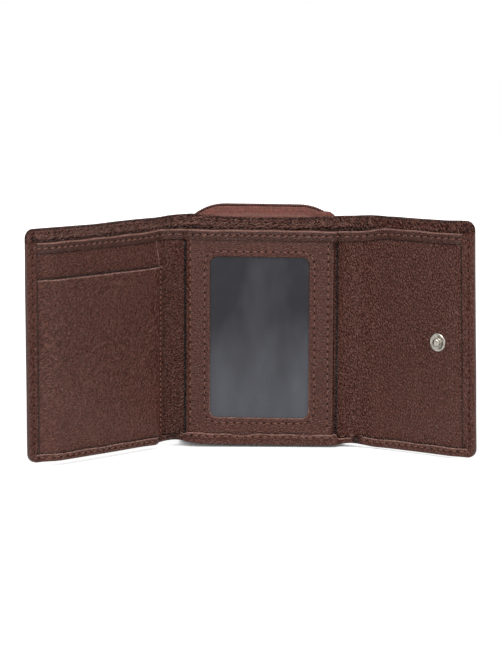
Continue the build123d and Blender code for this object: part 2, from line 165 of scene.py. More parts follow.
class Plan:
    """The wallet's line seen from above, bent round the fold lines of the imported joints."""

    left_reach = 3.0
    right_reach = 5.2
    seam = 31.0          # where a skin that only follows the centre ends
    slump = 0.8          # how far the left flap's inner layers sink at their top
    sampling = 0.02

    def __init__(self, joints: list[dict]) -> None:
        """Read the four fold lines from the joints."""
        found = {joint["name"]: joint for joint in joints}
        left = found["left_fold_centre_crease"]
        right = found["right_fold_centre_crease"]
        self.half = right["pos_m"][0] / MM
        self.left_turn = -left["range_deg"][0]
        self.right_turn = -right["range_deg"][0]
        self.left_fold = math.dist(left["pos_m"], found["left_fold_flap_crease"]["pos_m"]) / MM
        self.right_fold = math.dist(right["pos_m"], found["right_fold_flap_crease"]["pos_m"]) / MM
        self.left_middle = -self.half - self.left_fold / 2
        self.right_middle = self.half + self.right_fold / 2
        self.creases = {
            Stretch.LEFT_FLAP: Crease(-self.half - self.left_fold, -self.left_turn, self.left_reach),
            Stretch.LEFT_FOLD: Crease(-self.half, -self.left_turn, self.left_reach),
            Stretch.RIGHT_FOLD: Crease(self.half, -self.right_turn, self.right_reach),
            Stretch.RIGHT_FLAP: Crease(self.half + self.right_fold, -self.right_turn, self.right_reach),
        }
        self._along = np.arange(-160.0, 160.0, self.sampling)
        heading = self.heading(self._along)
        start = int(np.argmin(abs(self._along)))
        for name, part in (("_x", np.cos(heading)), ("_y", np.sin(heading))):
            total = np.concatenate([[0.0], np.cumsum((part[1:] + part[:-1]) / 2 * self.sampling)])
            setattr(self, name, total - total[start])

    def heading(self, along: np.ndarray) -> np.ndarray:
        """Return the plan line's direction at places along the wallet, in radians."""
        turned = np.zeros_like(along)
        for crease in self.creases.values():
            low, high = crease.at - crease.reach, crease.at + crease.reach
            share = np.asarray(smooth(along, low, high))
            turned += math.radians(crease.turn) * (share - (1.0 if crease.at < 0 else 0.0))
        return turned

    def stance(self, flat: np.ndarray) -> np.ndarray:
        """Return flat points as the wallet stands: its back askew, its flaps splayed and thin at their edges."""
        along, depth, height = flat.T
        right, left = smooth(along, self.half, 60.0), smooth(-along, self.half, 60.0)
        middle, foot = (1 - right) * (1 - left), 1 - height / 50
        rise = (
            (-0.3 - 0.0122 * np.clip(along, -44.0, 49.0)) * middle
            + (0.52 - 0.915 * foot) * right + (0.54 + 0.3 * foot - self.slump * smooth(height, 60.0, 94.0)) * left
        )
        lean = 1.04 * foot * right + 0.16 * foot * left - 0.22 * foot * middle
        thin = 1 - 0.62 * smooth(-along, 103.0, 113.0) - 0.42 * smooth(along, 87.0, 95.0)
        return np.stack([along + lean, 3.0 - (3.0 - depth) * thin, height + rise], axis=1)

    def settle(self, flat: np.ndarray) -> np.ndarray:
        """Return flat points with the soft leather's unevenness: its swells and its raised bottom edge."""
        along, depth, height = flat.T
        swell = (
            0.16 * np.sin(along * 0.105 + height * 0.031 + 0.4)
            + 0.10 * np.sin(along * 0.043 - height * 0.118 + 1.9)
            + 0.05 * np.sin(along * 0.27 + height * 0.19)
        )
        calm = 1 - 0.75 * np.asarray(bump(along, 0.0, self.half + 6))
        foot = np.clip(1 - height / 26, 0, 1) ** 2
        lift = (
            1.5 * np.asarray(bump(along, -self.half - 1.0, 13.0))
            + 1.3 * np.asarray(bump(along, self.half + 3.0, 11.0))
        )
        return np.stack([along, depth + swell * calm, height + lift * foot], axis=1)

    def place(self, flat: np.ndarray, soft: bool = True) -> np.ndarray:
        """Return flat points bent round the fold lines, in metres.

        Args:
            flat: points as rows of along, depth, height.
            soft: whether the leather's unevenness is added first.

        Returns:
            Points of the frame.
        """
        points = self.stance(self.settle(flat) if soft else flat)
        along, depth, height = points.T
        heading = self.heading(along)
        x = np.interp(along, self._along, self._x) - depth * np.sin(heading)
        y = np.interp(along, self._along, self._y) + depth * np.cos(heading)
        return np.stack([x, y, height], axis=1) * MM

    def outward(self, along: np.ndarray) -> np.ndarray:
        """Return the directions that point from the inner face to the outside."""
        heading = self.heading(along)
        return np.stack([-np.sin(heading), np.cos(heading), np.zeros_like(heading)], axis=1)

    def flat_box(self, node: str, stretch: Stretch) -> tuple[np.ndarray, np.ndarray]:
        """Return a CAD node's lowest and highest corner in the flat coordinates of its stretch."""
        mesh = frame["nodes"][node].data
        points = np.array([v.co for v in mesh.vertices], float) / MM
        if stretch is not Stretch.CENTRE:
            crease = self.creases[stretch]
            side = 1 if crease.at > 0 else -1
            folds = 2 if stretch in (Stretch.LEFT_FLAP, Stretch.RIGHT_FLAP) else 1
            angle = math.radians(crease.turn * folds * side)
            base = self._hinge(stretch)
            x, y = points[:, 0] - base[0], points[:, 1] - base[1]
            points[:, 0] = crease.at + x * math.cos(angle) + y * math.sin(angle)
            points[:, 1] = -x * math.sin(angle) + y * math.cos(angle)
        return points.min(0), points.max(0)

    def _hinge(self, stretch: Stretch) -> tuple[float, float]:
        """Return the fold line at a stretch's near end, seen from above."""
        names = {
            Stretch.LEFT_FLAP: "left_fold_flap_crease",
            Stretch.LEFT_FOLD: "left_fold_centre_crease",
            Stretch.RIGHT_FOLD: "right_fold_centre_crease",
            Stretch.RIGHT_FLAP: "right_fold_flap_crease",
        }
        joint = next(j for j in frame["joints"] if j["name"] == names[stretch])
        return joint["pos_m"][0] / MM, joint["pos_m"][1] / MM

    @property
    def seams(self) -> tuple[float, ...]:
        """Return the places where the skins are divided between stretches."""
        return self.left_middle, -self.seam, self.seam, self.right_middle

    def limits(self, stretch: Stretch) -> tuple[float, float]:
        """Return where the skins of a stretch begin and end."""
        ends = (-1000.0, *self.seams, 1000.0)
        order = list(Stretch).index(stretch)
        return ends[order], ends[order + 1]

    def lines(self, start: float, stop: float, fine: Sequence[float] = (), step: float = 2.2) -> np.ndarray:
        """Return places for a skin's rows, closer at its ends and at the folds, with one on every seam."""
        bends = [np.arange(c.at - c.reach, c.at + c.reach + 0.1, 0.75) for c in self.creases.values()]
        firm = [v for v in (*self.seams, start, stop, *(start + f for f in fine), *(stop - f for f in fine))
                if start <= v <= stop]
        loose = np.concatenate([graded(start, stop, step), *bends])
        free = [v for v in loose if start < v < stop and min(abs(v - f) for f in firm) > 0.25]
        return np.unique(np.round(np.concatenate([firm, free]), 5))

    def fasten(self, piece: bpy.types.Object, stretch: Stretch) -> None:
        """Attach a piece of the centre to the centre's body; a piece of any other stretch only gets its placement baked
        into its mesh.
        """
        if stretch is Stretch.CENTRE:
            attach(piece, "centre")
            return
        crease = self.creases[stretch]
        outward = crease.reach if crease.at > 0 else -crease.reach
        ends = np.array([[crease.at - outward, 0, 0], [crease.at + outward, 0, 0]])
        start, end = self.place(ends, soft=False)
        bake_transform(piece)


plan = Plan(frame["joints"])


# ---------------------------------------------------------------- node trees


class Tree:
    """A node tree under construction, with short calls for nodes, links and sockets."""

    def __init__(self, tree: bpy.types.NodeTree) -> None:
        """Take the tree that is to be filled."""
        self.tree = tree

    @classmethod
    def group(cls, name: str, kind: str, inputs: dict, outputs: dict) -> "Tree":
        """Return a new node group with named sockets.

        Args:
            name: the group's name.
            kind: ShaderNodeTree or GeometryNodeTree.
            inputs: socket kind and default value by name.
            outputs: socket kind by name.
        """
        made = cls(bpy.data.node_groups.new(name, kind))
        for label, (socket_kind, value) in inputs.items():
            socket = made.tree.interface.new_socket(label, in_out="INPUT", socket_type=socket_kind)
            if value is not None:
                socket.default_value = value
        for label, socket_kind in outputs.items():
            made.tree.interface.new_socket(label, in_out="OUTPUT", socket_type=socket_kind)
        made.start = made.tree.nodes.new("NodeGroupInput")
        made.end = made.tree.nodes.new("NodeGroupOutput")
        return made

    @classmethod
    def fresh(cls, owner: bpy.types.Material | bpy.types.World) -> "Tree":
        """Return the emptied tree of a material or world."""
        owner.use_nodes = True
        owner.node_tree.nodes.clear()
        return cls(owner.node_tree)

    def add(self, kind: str, inputs: dict | None = None, **settings) -> bpy.types.Node:
        """Add a node, set its properties, and link or set its inputs by name or number."""
        node = self.tree.nodes.new(kind)
        for label, value in settings.items():
            setattr(node, label, value)
        for label, value in (inputs or {}).items():
            if isinstance(value, bpy.types.NodeSocket):
                self.tree.links.new(value, node.inputs[label])
            else:
                node.inputs[label].default_value = value
        return node

    def math(self, operation: str, *values: object) -> bpy.types.NodeSocket:
        """Add a math node and return its result."""
        return self.add("ShaderNodeMath", dict(enumerate(values)), operation=operation).outputs[0]

    def blend(self, share: object, first: object, second: object) -> bpy.types.NodeSocket:
        """Add a colour mix and return its result."""
        return self.add("ShaderNodeMix", {0: share, 6: first, 7: second}, data_type="RGBA").outputs[2]

    def noise(self, vector: object, scale: object, detail: float) -> bpy.types.NodeSocket:
        """Add a noise texture and return its value."""
        return self.add("ShaderNodeTexNoise", {"Vector": vector, "Scale": scale, "Detail": detail}).outputs["Fac"]

    def span(self, value: object, low: float, high: float, to_low: float = 0.0, to_high: float = 1.0) -> object:
        """Add a clamped map range and return its result."""
        inputs = {"Value": value, "From Min": low, "From Max": high, "To Min": to_low, "To Max": to_high}
        return self.add("ShaderNodeMapRange", inputs, interpolation_type="SMOOTHSTEP").outputs["Result"]

    def finish(self, **results: object) -> bpy.types.NodeTree:
        """Link the group's outputs, whose names have spaces for underscores, and return the tree."""
        for label, value in results.items():
            self.tree.links.new(value, self.end.inputs[label.replace("_", " ").title()])
        return self.tree


def colour(red: float, green: float, blue: float) -> tuple[float, float, float, float]:
    """Return an opaque colour."""
    return (red, green, blue, 1.0)


class Effects:
    """Shader groups that more than one finish uses, each built once."""

    def __init__(self) -> None:
        """Build the groups."""
        self.grain = self._grain()
        self.wear = self._wear()
        self.weave = self._weave()
        self.brushing = self._brushing()

    def _grain(self) -> bpy.types.NodeTree:
        """Pebbled leather: domed cells and short streaks that lie one way, pores and slow tone changes; the valley and
        crown masks carry painted shade and painted highlights.
        """
        made = Tree.group(
            "pebble_grain", "ShaderNodeTree",
            {"Vector": ("NodeSocketVector", None), "Cell": ("NodeSocketFloat", 800.0),
             "Crease": ("NodeSocketFloat", 0.4), "Turn": ("NodeSocketFloat", 0.0), "Streak": ("NodeSocketFloat", 2.0)},
            {"Height": "NodeSocketFloat", "Valley": "NodeSocketFloat",
             "Crown": "NodeSocketFloat", "Tone": "NodeSocketFloat"},
        )
        vector, cell = made.start.outputs["Vector"], made.start.outputs["Cell"]
        bend = made.add("ShaderNodeTexNoise", {"Vector": vector, "Scale": 420.0, "Detail": 2.0})
        push = made.add("ShaderNodeVectorMath", {0: bend.outputs["Color"], 1: (0.5, 0.5, 0.5)}, operation="SUBTRACT")
        shift = made.add("ShaderNodeVectorMath", {0: push.outputs[0], "Scale": 0.0006}, operation="SCALE")
        moved = made.add("ShaderNodeVectorMath", {0: vector, 1: shift.outputs[0]}, operation="ADD").outputs[0]
        turn = made.add("ShaderNodeCombineXYZ", {"Y": made.start.outputs["Turn"]}).outputs[0]
        long = made.add("ShaderNodeCombineXYZ", {"X": made.start.outputs["Streak"], "Y": 1.0, "Z": 1.0}).outputs[0]
        slim = made.add("ShaderNodeMapping", {"Vector": moved, "Rotation": turn, "Scale": long}, vector_type="TEXTURE")
        edges = made.add(
            "ShaderNodeTexVoronoi", {"Vector": slim.outputs[0], "Scale": cell, "Randomness": 1.0},
            feature="DISTANCE_TO_EDGE",
        )
        pebble = made.span(edges.outputs["Distance"], 0.0, made.start.outputs["Crease"])
        dome = made.math("MULTIPLY", pebble, made.math("SUBTRACT", 2.0, pebble))
        streak = made.noise(slim.outputs[0], made.math("MULTIPLY", cell, 1.7), 0.0)
        pores, body = made.noise(vector, 3600.0, 3.0), made.noise(vector, 300.0, 2.0)
        height = made.math("MULTIPLY", dome, 0.6)
        for part, share in ((pores, 0.25), (streak, 1.4), (body, 1.2)):
            height = made.math("ADD", height, made.math("MULTIPLY", part, share))
        crown = made.math("MULTIPLY", made.span(streak, 0.46, 0.66), made.span(dome, 0.0, 1.0, 0.6, 1.0))
        crease = made.math("MULTIPLY", made.math("POWER", made.math("SUBTRACT", 1.0, pebble), 1.6), 0.4)
        valley = made.math("MAXIMUM", made.span(streak, 0.54, 0.34), crease)
        return made.finish(height=height, valley=valley, crown=crown, tone=made.noise(vector, 75.0, 4.0))

    def _wear(self) -> bpy.types.NodeTree:
        """Rubbed edges, painted highlights and painted shade over a base colour, with the matching roughness."""
        made = Tree.group(
            "edge_wear", "ShaderNodeTree",
            {"Base": ("NodeSocketColor", colour(0.1, 0.1, 0.1)), "Rubbed": ("NodeSocketColor", colour(0.3, 0.2, 0.2)),
             "Soiled": ("NodeSocketColor", colour(0.02, 0.02, 0.02)), "Wear": ("NodeSocketFloat", 0.0),
             "Soil": ("NodeSocketFloat", 0.0), "Vector": ("NodeSocketVector", None),
             "Roughness": ("NodeSocketFloat", 0.5)},
            {"Colour": "NodeSocketColor", "Roughness": "NodeSocketFloat"},
        )
        source = made.start.outputs
        ragged = made.span(made.noise(source["Vector"], 330.0, 5.0), 0.25, 0.7, 0.35, 1.0)
        worn_and_sheen = made.math("MULTIPLY", made.span(source["Wear"], 0.1, 0.9), ragged)
        shaded_base = made.blend(made.span(source["Soil"], 0.0, 1.0), source["Base"], source["Soiled"])
        rubbed = made.blend(worn_and_sheen, shaded_base, source["Rubbed"])
        rough = made.math("ADD", source["Roughness"], made.math("MULTIPLY", worn_and_sheen, -0.06))
        return made.finish(colour=rubbed, roughness=rough)

    def _weave(self) -> bpy.types.NodeTree:
        """Plain woven cloth: two sets of threads that cross over and under."""
        made = Tree.group(
            "weave", "ShaderNodeTree",
            {"Vector": ("NodeSocketVector", None), "Threads": ("NodeSocketFloat", 9000.0)},
            {"Height": "NodeSocketFloat", "Tone": "NodeSocketFloat"},
        )
        scaled = made.add(
            "ShaderNodeVectorMath", {0: made.start.outputs["Vector"], "Scale": made.start.outputs["Threads"]},
            operation="SCALE",
        )
        axes = made.add("ShaderNodeSeparateXYZ", {0: scaled.outputs[0]}).outputs
        warp = made.math("ABSOLUTE", made.math("SINE", made.math("ADD", axes[0], axes[1])))
        weft = made.math("ABSOLUTE", made.math("SINE", axes[2]))
        height = made.math("MULTIPLY", warp, weft)
        return made.finish(height=height, tone=made.noise(made.start.outputs["Vector"], 900.0, 3.0))

    def _brushing(self) -> bpy.types.NodeTree:
        """Fine scratches on plated metal, and smear patches that are partly smears and partly painted shade."""
        made = Tree.group(
            "brushing", "ShaderNodeTree", {"Vector": ("NodeSocketVector", None)},
            {"Height": "NodeSocketFloat", "Smear": "NodeSocketFloat"},
        )
        vector = made.start.outputs["Vector"]
        stretched = made.add("ShaderNodeMapping", {"Vector": vector, "Scale": (1.0, 1.0, 0.12)})
        scratch = made.noise(stretched.outputs[0], 5200.0, 3.0)
        return made.finish(height=scratch, smear=made.noise(vector, 700.0, 3.0))


class Finish:
    """A material of the wallet, built on first use."""

    name: str

    def __init__(self) -> None:
        """Leave the material to be built when it is first asked for."""
        self._made: bpy.types.Material | None = None

    def material(self) -> bpy.types.Material:
        """Return the Blender material."""
        if self._made is None:
            self._made = bpy.data.materials.new(self.name)
            made = Tree.fresh(self._made)
            shader = made.add("ShaderNodeBsdfPrincipled")
            made.add("ShaderNodeOutputMaterial", {"Surface": shader.outputs[0]})
            self.dress(made, shader)
        return self._made

    def dress(self, made: Tree, shader: bpy.types.Node) -> None:
        """Add this finish's nodes."""
        raise NotImplementedError

    def bump(self, made: Tree, shader: bpy.types.Node, height: object, distance: float, strength: float) -> None:
        """Feed a height to the shader's normal."""
        node = made.add("ShaderNodeBump", {"Height": height, "Distance": distance, "Strength": strength})
        made.tree.links.new(node.outputs[0], shader.inputs["Normal"])


@dataclass(frozen=True)
class LeatherLook:
    """Values of one leather finish. Colours are linear; groove and crown are the painted shade and painted highlight of
    the grain, and rubbed colours rims that wear and painted highlights lighten.
    """

    base: tuple[float, float, float, float]
    deep: tuple[float, float, float, float]
    groove: tuple[float, float, float, float]
    crown: tuple[float, float, float, float]
    rubbed: tuple[float, float, float, float]
    cell: float = 800.0
    depth: float = 0.0009
    roughness: float = 0.3


class Leather(Finish):
    """Pebbled leather whose grain follows the piece's own flat coordinates."""

    def __init__(self, name: str, look: LeatherLook, effects: Effects) -> None:
        """Keep the look and the shared groups."""
        super().__init__()
        self.name, self.look, self.effects = name, look, effects

    def dress(self, made: Tree, shader: bpy.types.Node) -> None:
        """Build grain with painted shade in its valleys and painted highlights on its crowns, tone, wear with painted
        highlights and painted shade, and sheen.
        """
        look = self.look
        flat = made.add("ShaderNodeAttribute", attribute_name="grain").outputs["Vector"]
        wear, soil, coarse = (
            made.add("ShaderNodeAttribute", attribute_name=mark).outputs["Fac"] for mark in ("wear", "soil", "coarse")
        )
        rough = made.span(coarse, -0.4, 1.0, 0.15, 1.0)
        right = made.math("GREATER_THAN", made.add("ShaderNodeSeparateXYZ", {0: flat}).outputs[0], 0.0332)
        grain = made.add("ShaderNodeGroup", {
            "Vector": flat, "Cell": look.cell, "Crease": 0.4, "Turn": made.math("MULTIPLY_ADD", right, -1.5, -0.4),
            "Streak": made.math("MULTIPLY_ADD", right, -0.1, 1.7),
        }, node_tree=self.effects.grain).outputs
        tinted = made.blend(made.span(grain["Tone"], 0.3, 0.7, 0.0, 0.14), look.base, look.deep)
        # Painted shade in the grain's valleys and painted highlights on its crowns, stronger where the grain is coarse.
        for mask, strength, tint in (("Valley", 0.9, look.groove), ("Crown", 0.85, look.crown)):
            share = made.math("MULTIPLY", made.math("MULTIPLY", grain[mask], rough), strength)
            tinted = made.blend(share, tinted, tint)
        # Wear and painted highlights lighten rims and folds; painted shade darkens gaps, folds and the leather beside
        # borders.
        worn_and_sheen = made.add("ShaderNodeGroup", {
            "Base": tinted, "Rubbed": look.rubbed, "Soiled": colour(0.012, 0.007, 0.006), "Wear": wear,
            "Soil": soil, "Vector": flat, "Roughness": look.roughness,
        }, node_tree=self.effects.wear)
        made.tree.links.new(worn_and_sheen.outputs["Colour"], shader.inputs["Base Color"])
        made.tree.links.new(worn_and_sheen.outputs["Roughness"], shader.inputs["Roughness"])
        shader.inputs["Specular IOR Level"].default_value = 0.22
        self.bump(made, shader, made.math("MULTIPLY", grain["Height"], rough), look.depth, 1.0)


class Cloth(Finish):
    """Woven lining or zip tape."""

    def __init__(self, name: str, base: tuple, deep: tuple, pale: tuple, threads: float, effects: Effects) -> None:
        """Keep the colours, the thread count and the shared groups."""
        super().__init__()
        self.name, self.base, self.deep, self.pale = name, base, deep, pale
        self.threads, self.effects = threads, effects

    def dress(self, made: Tree, shader: bpy.types.Node) -> None:
        """Build the weave and its flecks."""
        place = made.add("ShaderNodeTexCoord").outputs["Object"]
        weave = made.add(
            "ShaderNodeGroup", {"Vector": place, "Threads": self.threads}, node_tree=self.effects.weave,
        )
        tone = made.span(weave.outputs["Tone"], 0.3, 0.7, 0.0, 0.6)
        dark = made.math("ADD", tone, made.math("MULTIPLY", made.math("SUBTRACT", 1.0, weave.outputs["Height"]), 0.4))
        wear = made.add("ShaderNodeAttribute", attribute_name="wear").outputs["Fac"]
        tint = made.blend(wear, made.blend(dark, self.base, self.deep), self.pale)
        made.tree.links.new(tint, shader.inputs["Base Color"])
        shader.inputs["Roughness"].default_value = 0.8
        shader.inputs["Sheen Weight"].default_value = 0.25
        shader.inputs["Sheen Roughness"].default_value = 0.4
        self.bump(made, shader, weave.outputs["Height"], 0.00008, 0.8)


class Metal(Finish):
    """Nickel plating, scratched, with darker patches that are partly smears and partly painted shade."""

    def __init__(self, name: str, base: tuple, roughness: float, effects: Effects) -> None:
        """Keep the colour, the roughness and the shared groups."""
        super().__init__()
        self.name, self.base, self.roughness, self.effects = name, base, roughness, effects

    def dress(self, made: Tree, shader: bpy.types.Node) -> None:
        """Build the plating."""
        place = made.add("ShaderNodeTexCoord").outputs["Object"]
        marks = made.add("ShaderNodeGroup", {"Vector": place}, node_tree=self.effects.brushing)
        smear = marks.outputs["Smear"]
        dull = tuple(0.55 * part for part in self.base[:3]) + (1.0,)
        made.tree.links.new(made.blend(made.span(smear, 0.35, 0.75), self.base, dull), shader.inputs["Base Color"])
        rough = made.span(smear, 0.3, 0.75, self.roughness - 0.06, self.roughness + 0.14)
        made.tree.links.new(rough, shader.inputs["Roughness"])
        shader.inputs["Metallic"].default_value = 1.0
        self.bump(made, shader, marks.outputs["Height"], 0.00001, 0.5)


class Film(Finish):
    """The ID window's clear film over its dark backing, with painted reflections: pale clouds, and lighter towards the
    bottom.
    """

    name = "window_film"

    def __init__(self, bottom: float, top: float) -> None:
        """Keep the window's lowest and highest place, in metres."""
        super().__init__()
        self.bottom, self.top = bottom, top

    def dress(self, made: Tree, shader: bpy.types.Node) -> None:
        """Build the painted reflections and the gloss."""
        place = made.add("ShaderNodeTexCoord").outputs["Object"]
        height = made.add("ShaderNodeSeparateXYZ", {0: place}).outputs[2]
        drawn = made.add("ShaderNodeMapping", {"Vector": place, "Rotation": (0.0, 0.5, 0.0), "Scale": (1.0, 1.0, 0.45)})
        painted_reflection = made.span(made.noise(drawn.outputs[0], 42.0, 3.0), 0.35, 0.72, -0.1, 0.28)
        rise = made.math("POWER", made.span(height, self.bottom, self.top, 0.75, 0.0), 1.7)
        share = made.math("ADD", rise, painted_reflection)
        tone = made.blend(share, colour(0.0125, 0.012, 0.0175), colour(0.098, 0.101, 0.116))
        made.tree.links.new(tone, shader.inputs["Base Color"])
        shader.inputs["Specular IOR Level"].default_value = 0.28
        rough = made.span(made.noise(place, 160.0, 3.0), 0.3, 0.8, 0.2, 0.36)
        made.tree.links.new(rough, shader.inputs["Roughness"])
        self.bump(made, shader, made.noise(place, 60.0, 1.0), 0.0006, 0.35)


class Plain(Finish):
    """Thread, coil nylon, or the painted shade of a needle hole: one colour with a little mottle."""

    def __init__(self, name: str, base: tuple, deep: tuple, roughness: float) -> None:
        """Keep the colours and the roughness."""
        super().__init__()
        self.name, self.base, self.deep, self.rough = name, base, deep, roughness

    def dress(self, made: Tree, shader: bpy.types.Node) -> None:
        """Build the mottle and the twist of the fibres."""
        place = made.add("ShaderNodeTexCoord").outputs["Object"]
        mottle = made.noise(place, 1400.0, 3.0)
        tone = made.blend(made.span(mottle, 0.3, 0.7), self.base, self.deep)
        made.tree.links.new(tone, shader.inputs["Base Color"])
        shader.inputs["Roughness"].default_value = self.rough
        shader.inputs["Specular IOR Level"].default_value = 0.15
        self.bump(made, shader, mottle, 0.00003, 0.5)


class Finishes:
    """Every finish of the wallet, and the hand that gives it to a piece."""

    def __init__(self, window: tuple[float, float]) -> None:
        """Build the finishes; window is the ID window's lowest and highest place in metres."""
        effects = Effects()
        brown, dark = colour(0.082, 0.0246, 0.015), colour(0.014, 0.0042, 0.003)
        # Painted shade for the grain's valleys, painted highlight for its crowns, and the colour of worn rims and
        # painted highlights.
        groove, crown, rubbed = colour(0.032, 0.0058, 0.0028), colour(0.172, 0.074, 0.056), colour(0.33, 0.19, 0.155)
        self.outer = Leather("outer_leather", LeatherLook(brown, dark, groove, crown, rubbed, cell=880.0), effects)
        inner = LeatherLook(brown, dark, groove, crown, rubbed, cell=1000.0, depth=0.0008)
        self.inner = Leather("inner_leather", inner, effects)
        lining, tape = colour(0.05, 0.027, 0.021), colour(0.178, 0.048, 0.03)
        self.lining = Cloth("lining_cloth", lining, colour(0.026, 0.014, 0.011), lining, 9000.0, effects)
        self.tape = Cloth("zip_tape", tape, colour(0.06, 0.015, 0.01), colour(0.21, 0.105, 0.085), 2300.0, effects)
        self.coil = Plain("zip_coil", colour(0.022, 0.008, 0.006), colour(0.013, 0.005, 0.004), 0.45)
        self.thread = Plain("sewing_thread", colour(0.21, 0.1, 0.074), colour(0.13, 0.058, 0.042), 0.65)
        # A darker copy of the thread as painted shade for thread drawn into the leather, and dark discs of painted
        # shade for needle holes.
        self.shaded_thread = Plain("shaded_thread", colour(0.1, 0.038, 0.027), colour(0.06, 0.022, 0.016), 0.8)
        self.hole = Plain("needle_hole_shade", colour(0.026, 0.009, 0.006), colour(0.014, 0.005, 0.004), 0.9)
        # The snap's nickel is painted darker than bare nickel, as painted reflection of darker surroundings.
        self.nickel = Metal("snap_nickel", colour(0.42, 0.39, 0.345), 0.2, effects)
        self.zinc = Metal("zip_nickel", colour(0.6, 0.59, 0.55), 0.3, effects)
        self.film = Film(*window)

    @staticmethod
    def give(piece: bpy.types.Object, finish: Finish, slot: str | None = None) -> None:
        """Put one finish on a whole piece."""
        piece.data.materials.clear()
        piece.data.materials.append(finish.material())


# ---------------------------------------------------------------- leather skins


class Form:
    """A closed skin drawn flat, in nets of quads, that is later divided between stretches and bent."""

    fine = (0.05, 0.15, 0.3, 0.45, 0.9)

    def __init__(self, name: str) -> None:
        """Start an empty form."""
        self.name = name
        self.points: list[np.ndarray] = []
        self.marks: list[np.ndarray] = []
        self.faces: list[np.ndarray] = []
        self.count = 0

    def net(
        self, points: np.ndarray, wear: object = 0.0, soil: object = 0.0, coarse: object = 0.0, closed: bool = False,
    ) -> None:
        """Add a net of quads.

        Args:
            points: rows x columns of flat points.
            wear: how much each point is lightened by wear and painted highlight, 0 to 1.
            soil: how dark each point is painted as shade, 0 to 1.
            coarse: how rough the grain is, 0 to 1.
            closed: whether the last column joins the first.
        """
        rows, columns = points.shape[:2]
        index = np.arange(rows * columns).reshape(rows, columns) + self.count
        if closed:
            index = np.concatenate([index, index[:, :1]], axis=1)
        quads = np.stack([index[:-1, :-1], index[1:, :-1], index[1:, 1:], index[:-1, 1:]], axis=-1)
        marks = [np.broadcast_to(value, (rows, columns)).ravel() for value in (wear, soil, coarse)]
        self.points.append(points.reshape(-1, 3))
        self.marks.append(np.stack(marks, axis=1))
        self.faces.append(quads.reshape(-1, 4))
        self.count += rows * columns

    def skin(
        self, along: np.ndarray, height: np.ndarray, front: object, back: object, rim: np.ndarray,
        wear: object = 0.0, soil: object = 0.0, coarse: object = 0.0,
    ) -> None:
        """Add a closed sheet with rounded rims.

        Args:
            along: rows x columns of places along the wallet.
            height: rows x columns of heights.
            front: depth of the side that faces in.
            back: depth of the side that faces out.
            rim: how far each point is from the nearest finished rim.
            wear: extra wear and painted highlight on the front.
            soil: painted shade on the front.
            coarse: roughness of the front's grain.
        """
        front, back, wear, soil, coarse = (np.broadcast_to(v, along.shape) for v in (front, back, wear, soil, coarse))
        round_off = rounded_rim(rim / (back - front) * 2)
        middle = (front + back) / 2
        sides = [np.stack([along, middle + (side - middle) * round_off, height], axis=-1) for side in (front, back)]
        rubbed = np.maximum(np.clip(1 - rim / 0.5, 0, 1) * 0.25, wear)
        plain = np.zeros_like(rubbed)
        marks = [np.concatenate([mark, plain], axis=1) for mark in (rubbed, soil, coarse)]
        self.net(np.concatenate([sides[0], sides[1][:, ::-1]], axis=1), *marks, closed=True)

    def piece(self, name: str, finish: Finish, stretch: Stretch | None = None, soft: bool = True) -> bpy.types.Object:
        """Return the object of the part of the form that lies on one stretch, or of the whole form.

        Args:
            name: the object's name.
            finish: its material.
            stretch: where it lies, or None for a rigid piece of the centre.
            soft: whether the leather's unevenness is added.
        """
        points, faces = np.concatenate(self.points), np.concatenate(self.faces)
        marks = np.concatenate(self.marks)
        if stretch is not None:
            low, high = plan.limits(stretch)
            middle = points[faces][:, :, 0].mean(1)
            faces = faces[(middle > low) & (middle < high)]
        used, inverse = np.unique(faces, return_inverse=True)
        mesh = bpy.data.meshes.new(name)
        mesh.from_pydata(points[used].tolist(), [], inverse.reshape(-1, 4).tolist())
        for column, label in enumerate(("wear", "soil", "coarse")):
            layer = mesh.attributes.new(label, "FLOAT", "POINT")
            layer.data.foreach_set("value", marks[used, column].astype(np.float32))
        self.close(mesh)
        flat = np.empty(len(mesh.vertices) * 3, np.float32)
        mesh.vertices.foreach_get("co", flat)
        grain = mesh.attributes.new("grain", "FLOAT_VECTOR", "POINT")
        grain.data.foreach_set("vector", flat * MM)
        flat = flat.reshape(-1, 3).astype(float)
        placed = plan.place(flat, soft) if stretch is not None else plan.stance(flat) * MM
        mesh.vertices.foreach_set("co", placed.astype(np.float32).ravel())
        mesh.update()
        obj = link(bpy.data.objects.new(name, mesh))
        Finishes.give(obj, finish)
        log.info("%s: %d faces", name, len(mesh.polygons))
        return obj

    @staticmethod
    def close(mesh: bpy.types.Mesh) -> None:
        """Merge a flat mesh's doubles, cap its open ends and face it outwards."""
        solid = bmesh.new()
        solid.from_mesh(mesh)
        bmesh.ops.remove_doubles(solid, verts=solid.verts, dist=0.004)
        bmesh.ops.dissolve_degenerate(solid, edges=solid.edges, dist=0.001)
        open_edges = [edge for edge in solid.edges if edge.is_boundary]
        for face in solid.faces:
            face.smooth = True
        bmesh.ops.holes_fill(solid, edges=open_edges, sides=0)
        for edge in open_edges:
            edge.smooth = False
        bmesh.ops.recalc_face_normals(solid, faces=solid.faces)
        solid.to_mesh(mesh)
        solid.free()


def dress(form: Form, finish: Finish, nodes: dict[Stretch, tuple[str, ...]], soft: bool = True) -> None:
    """Divide a form between stretches, fasten each piece with the plan, and hide the CAD nodes that it stands for.

    Args:
        form: the skin.
        finish: its material.
        nodes: the CAD nodes that the piece of each stretch replaces.
        soft: whether the leather's unevenness is added.
    """
    for stretch, replaced in nodes.items():
        piece = form.piece(f"{form.name}_{stretch.name.lower()}", finish, stretch, soft)
        plan.fasten(piece, stretch)
        if replaced:
            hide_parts(*replaced)


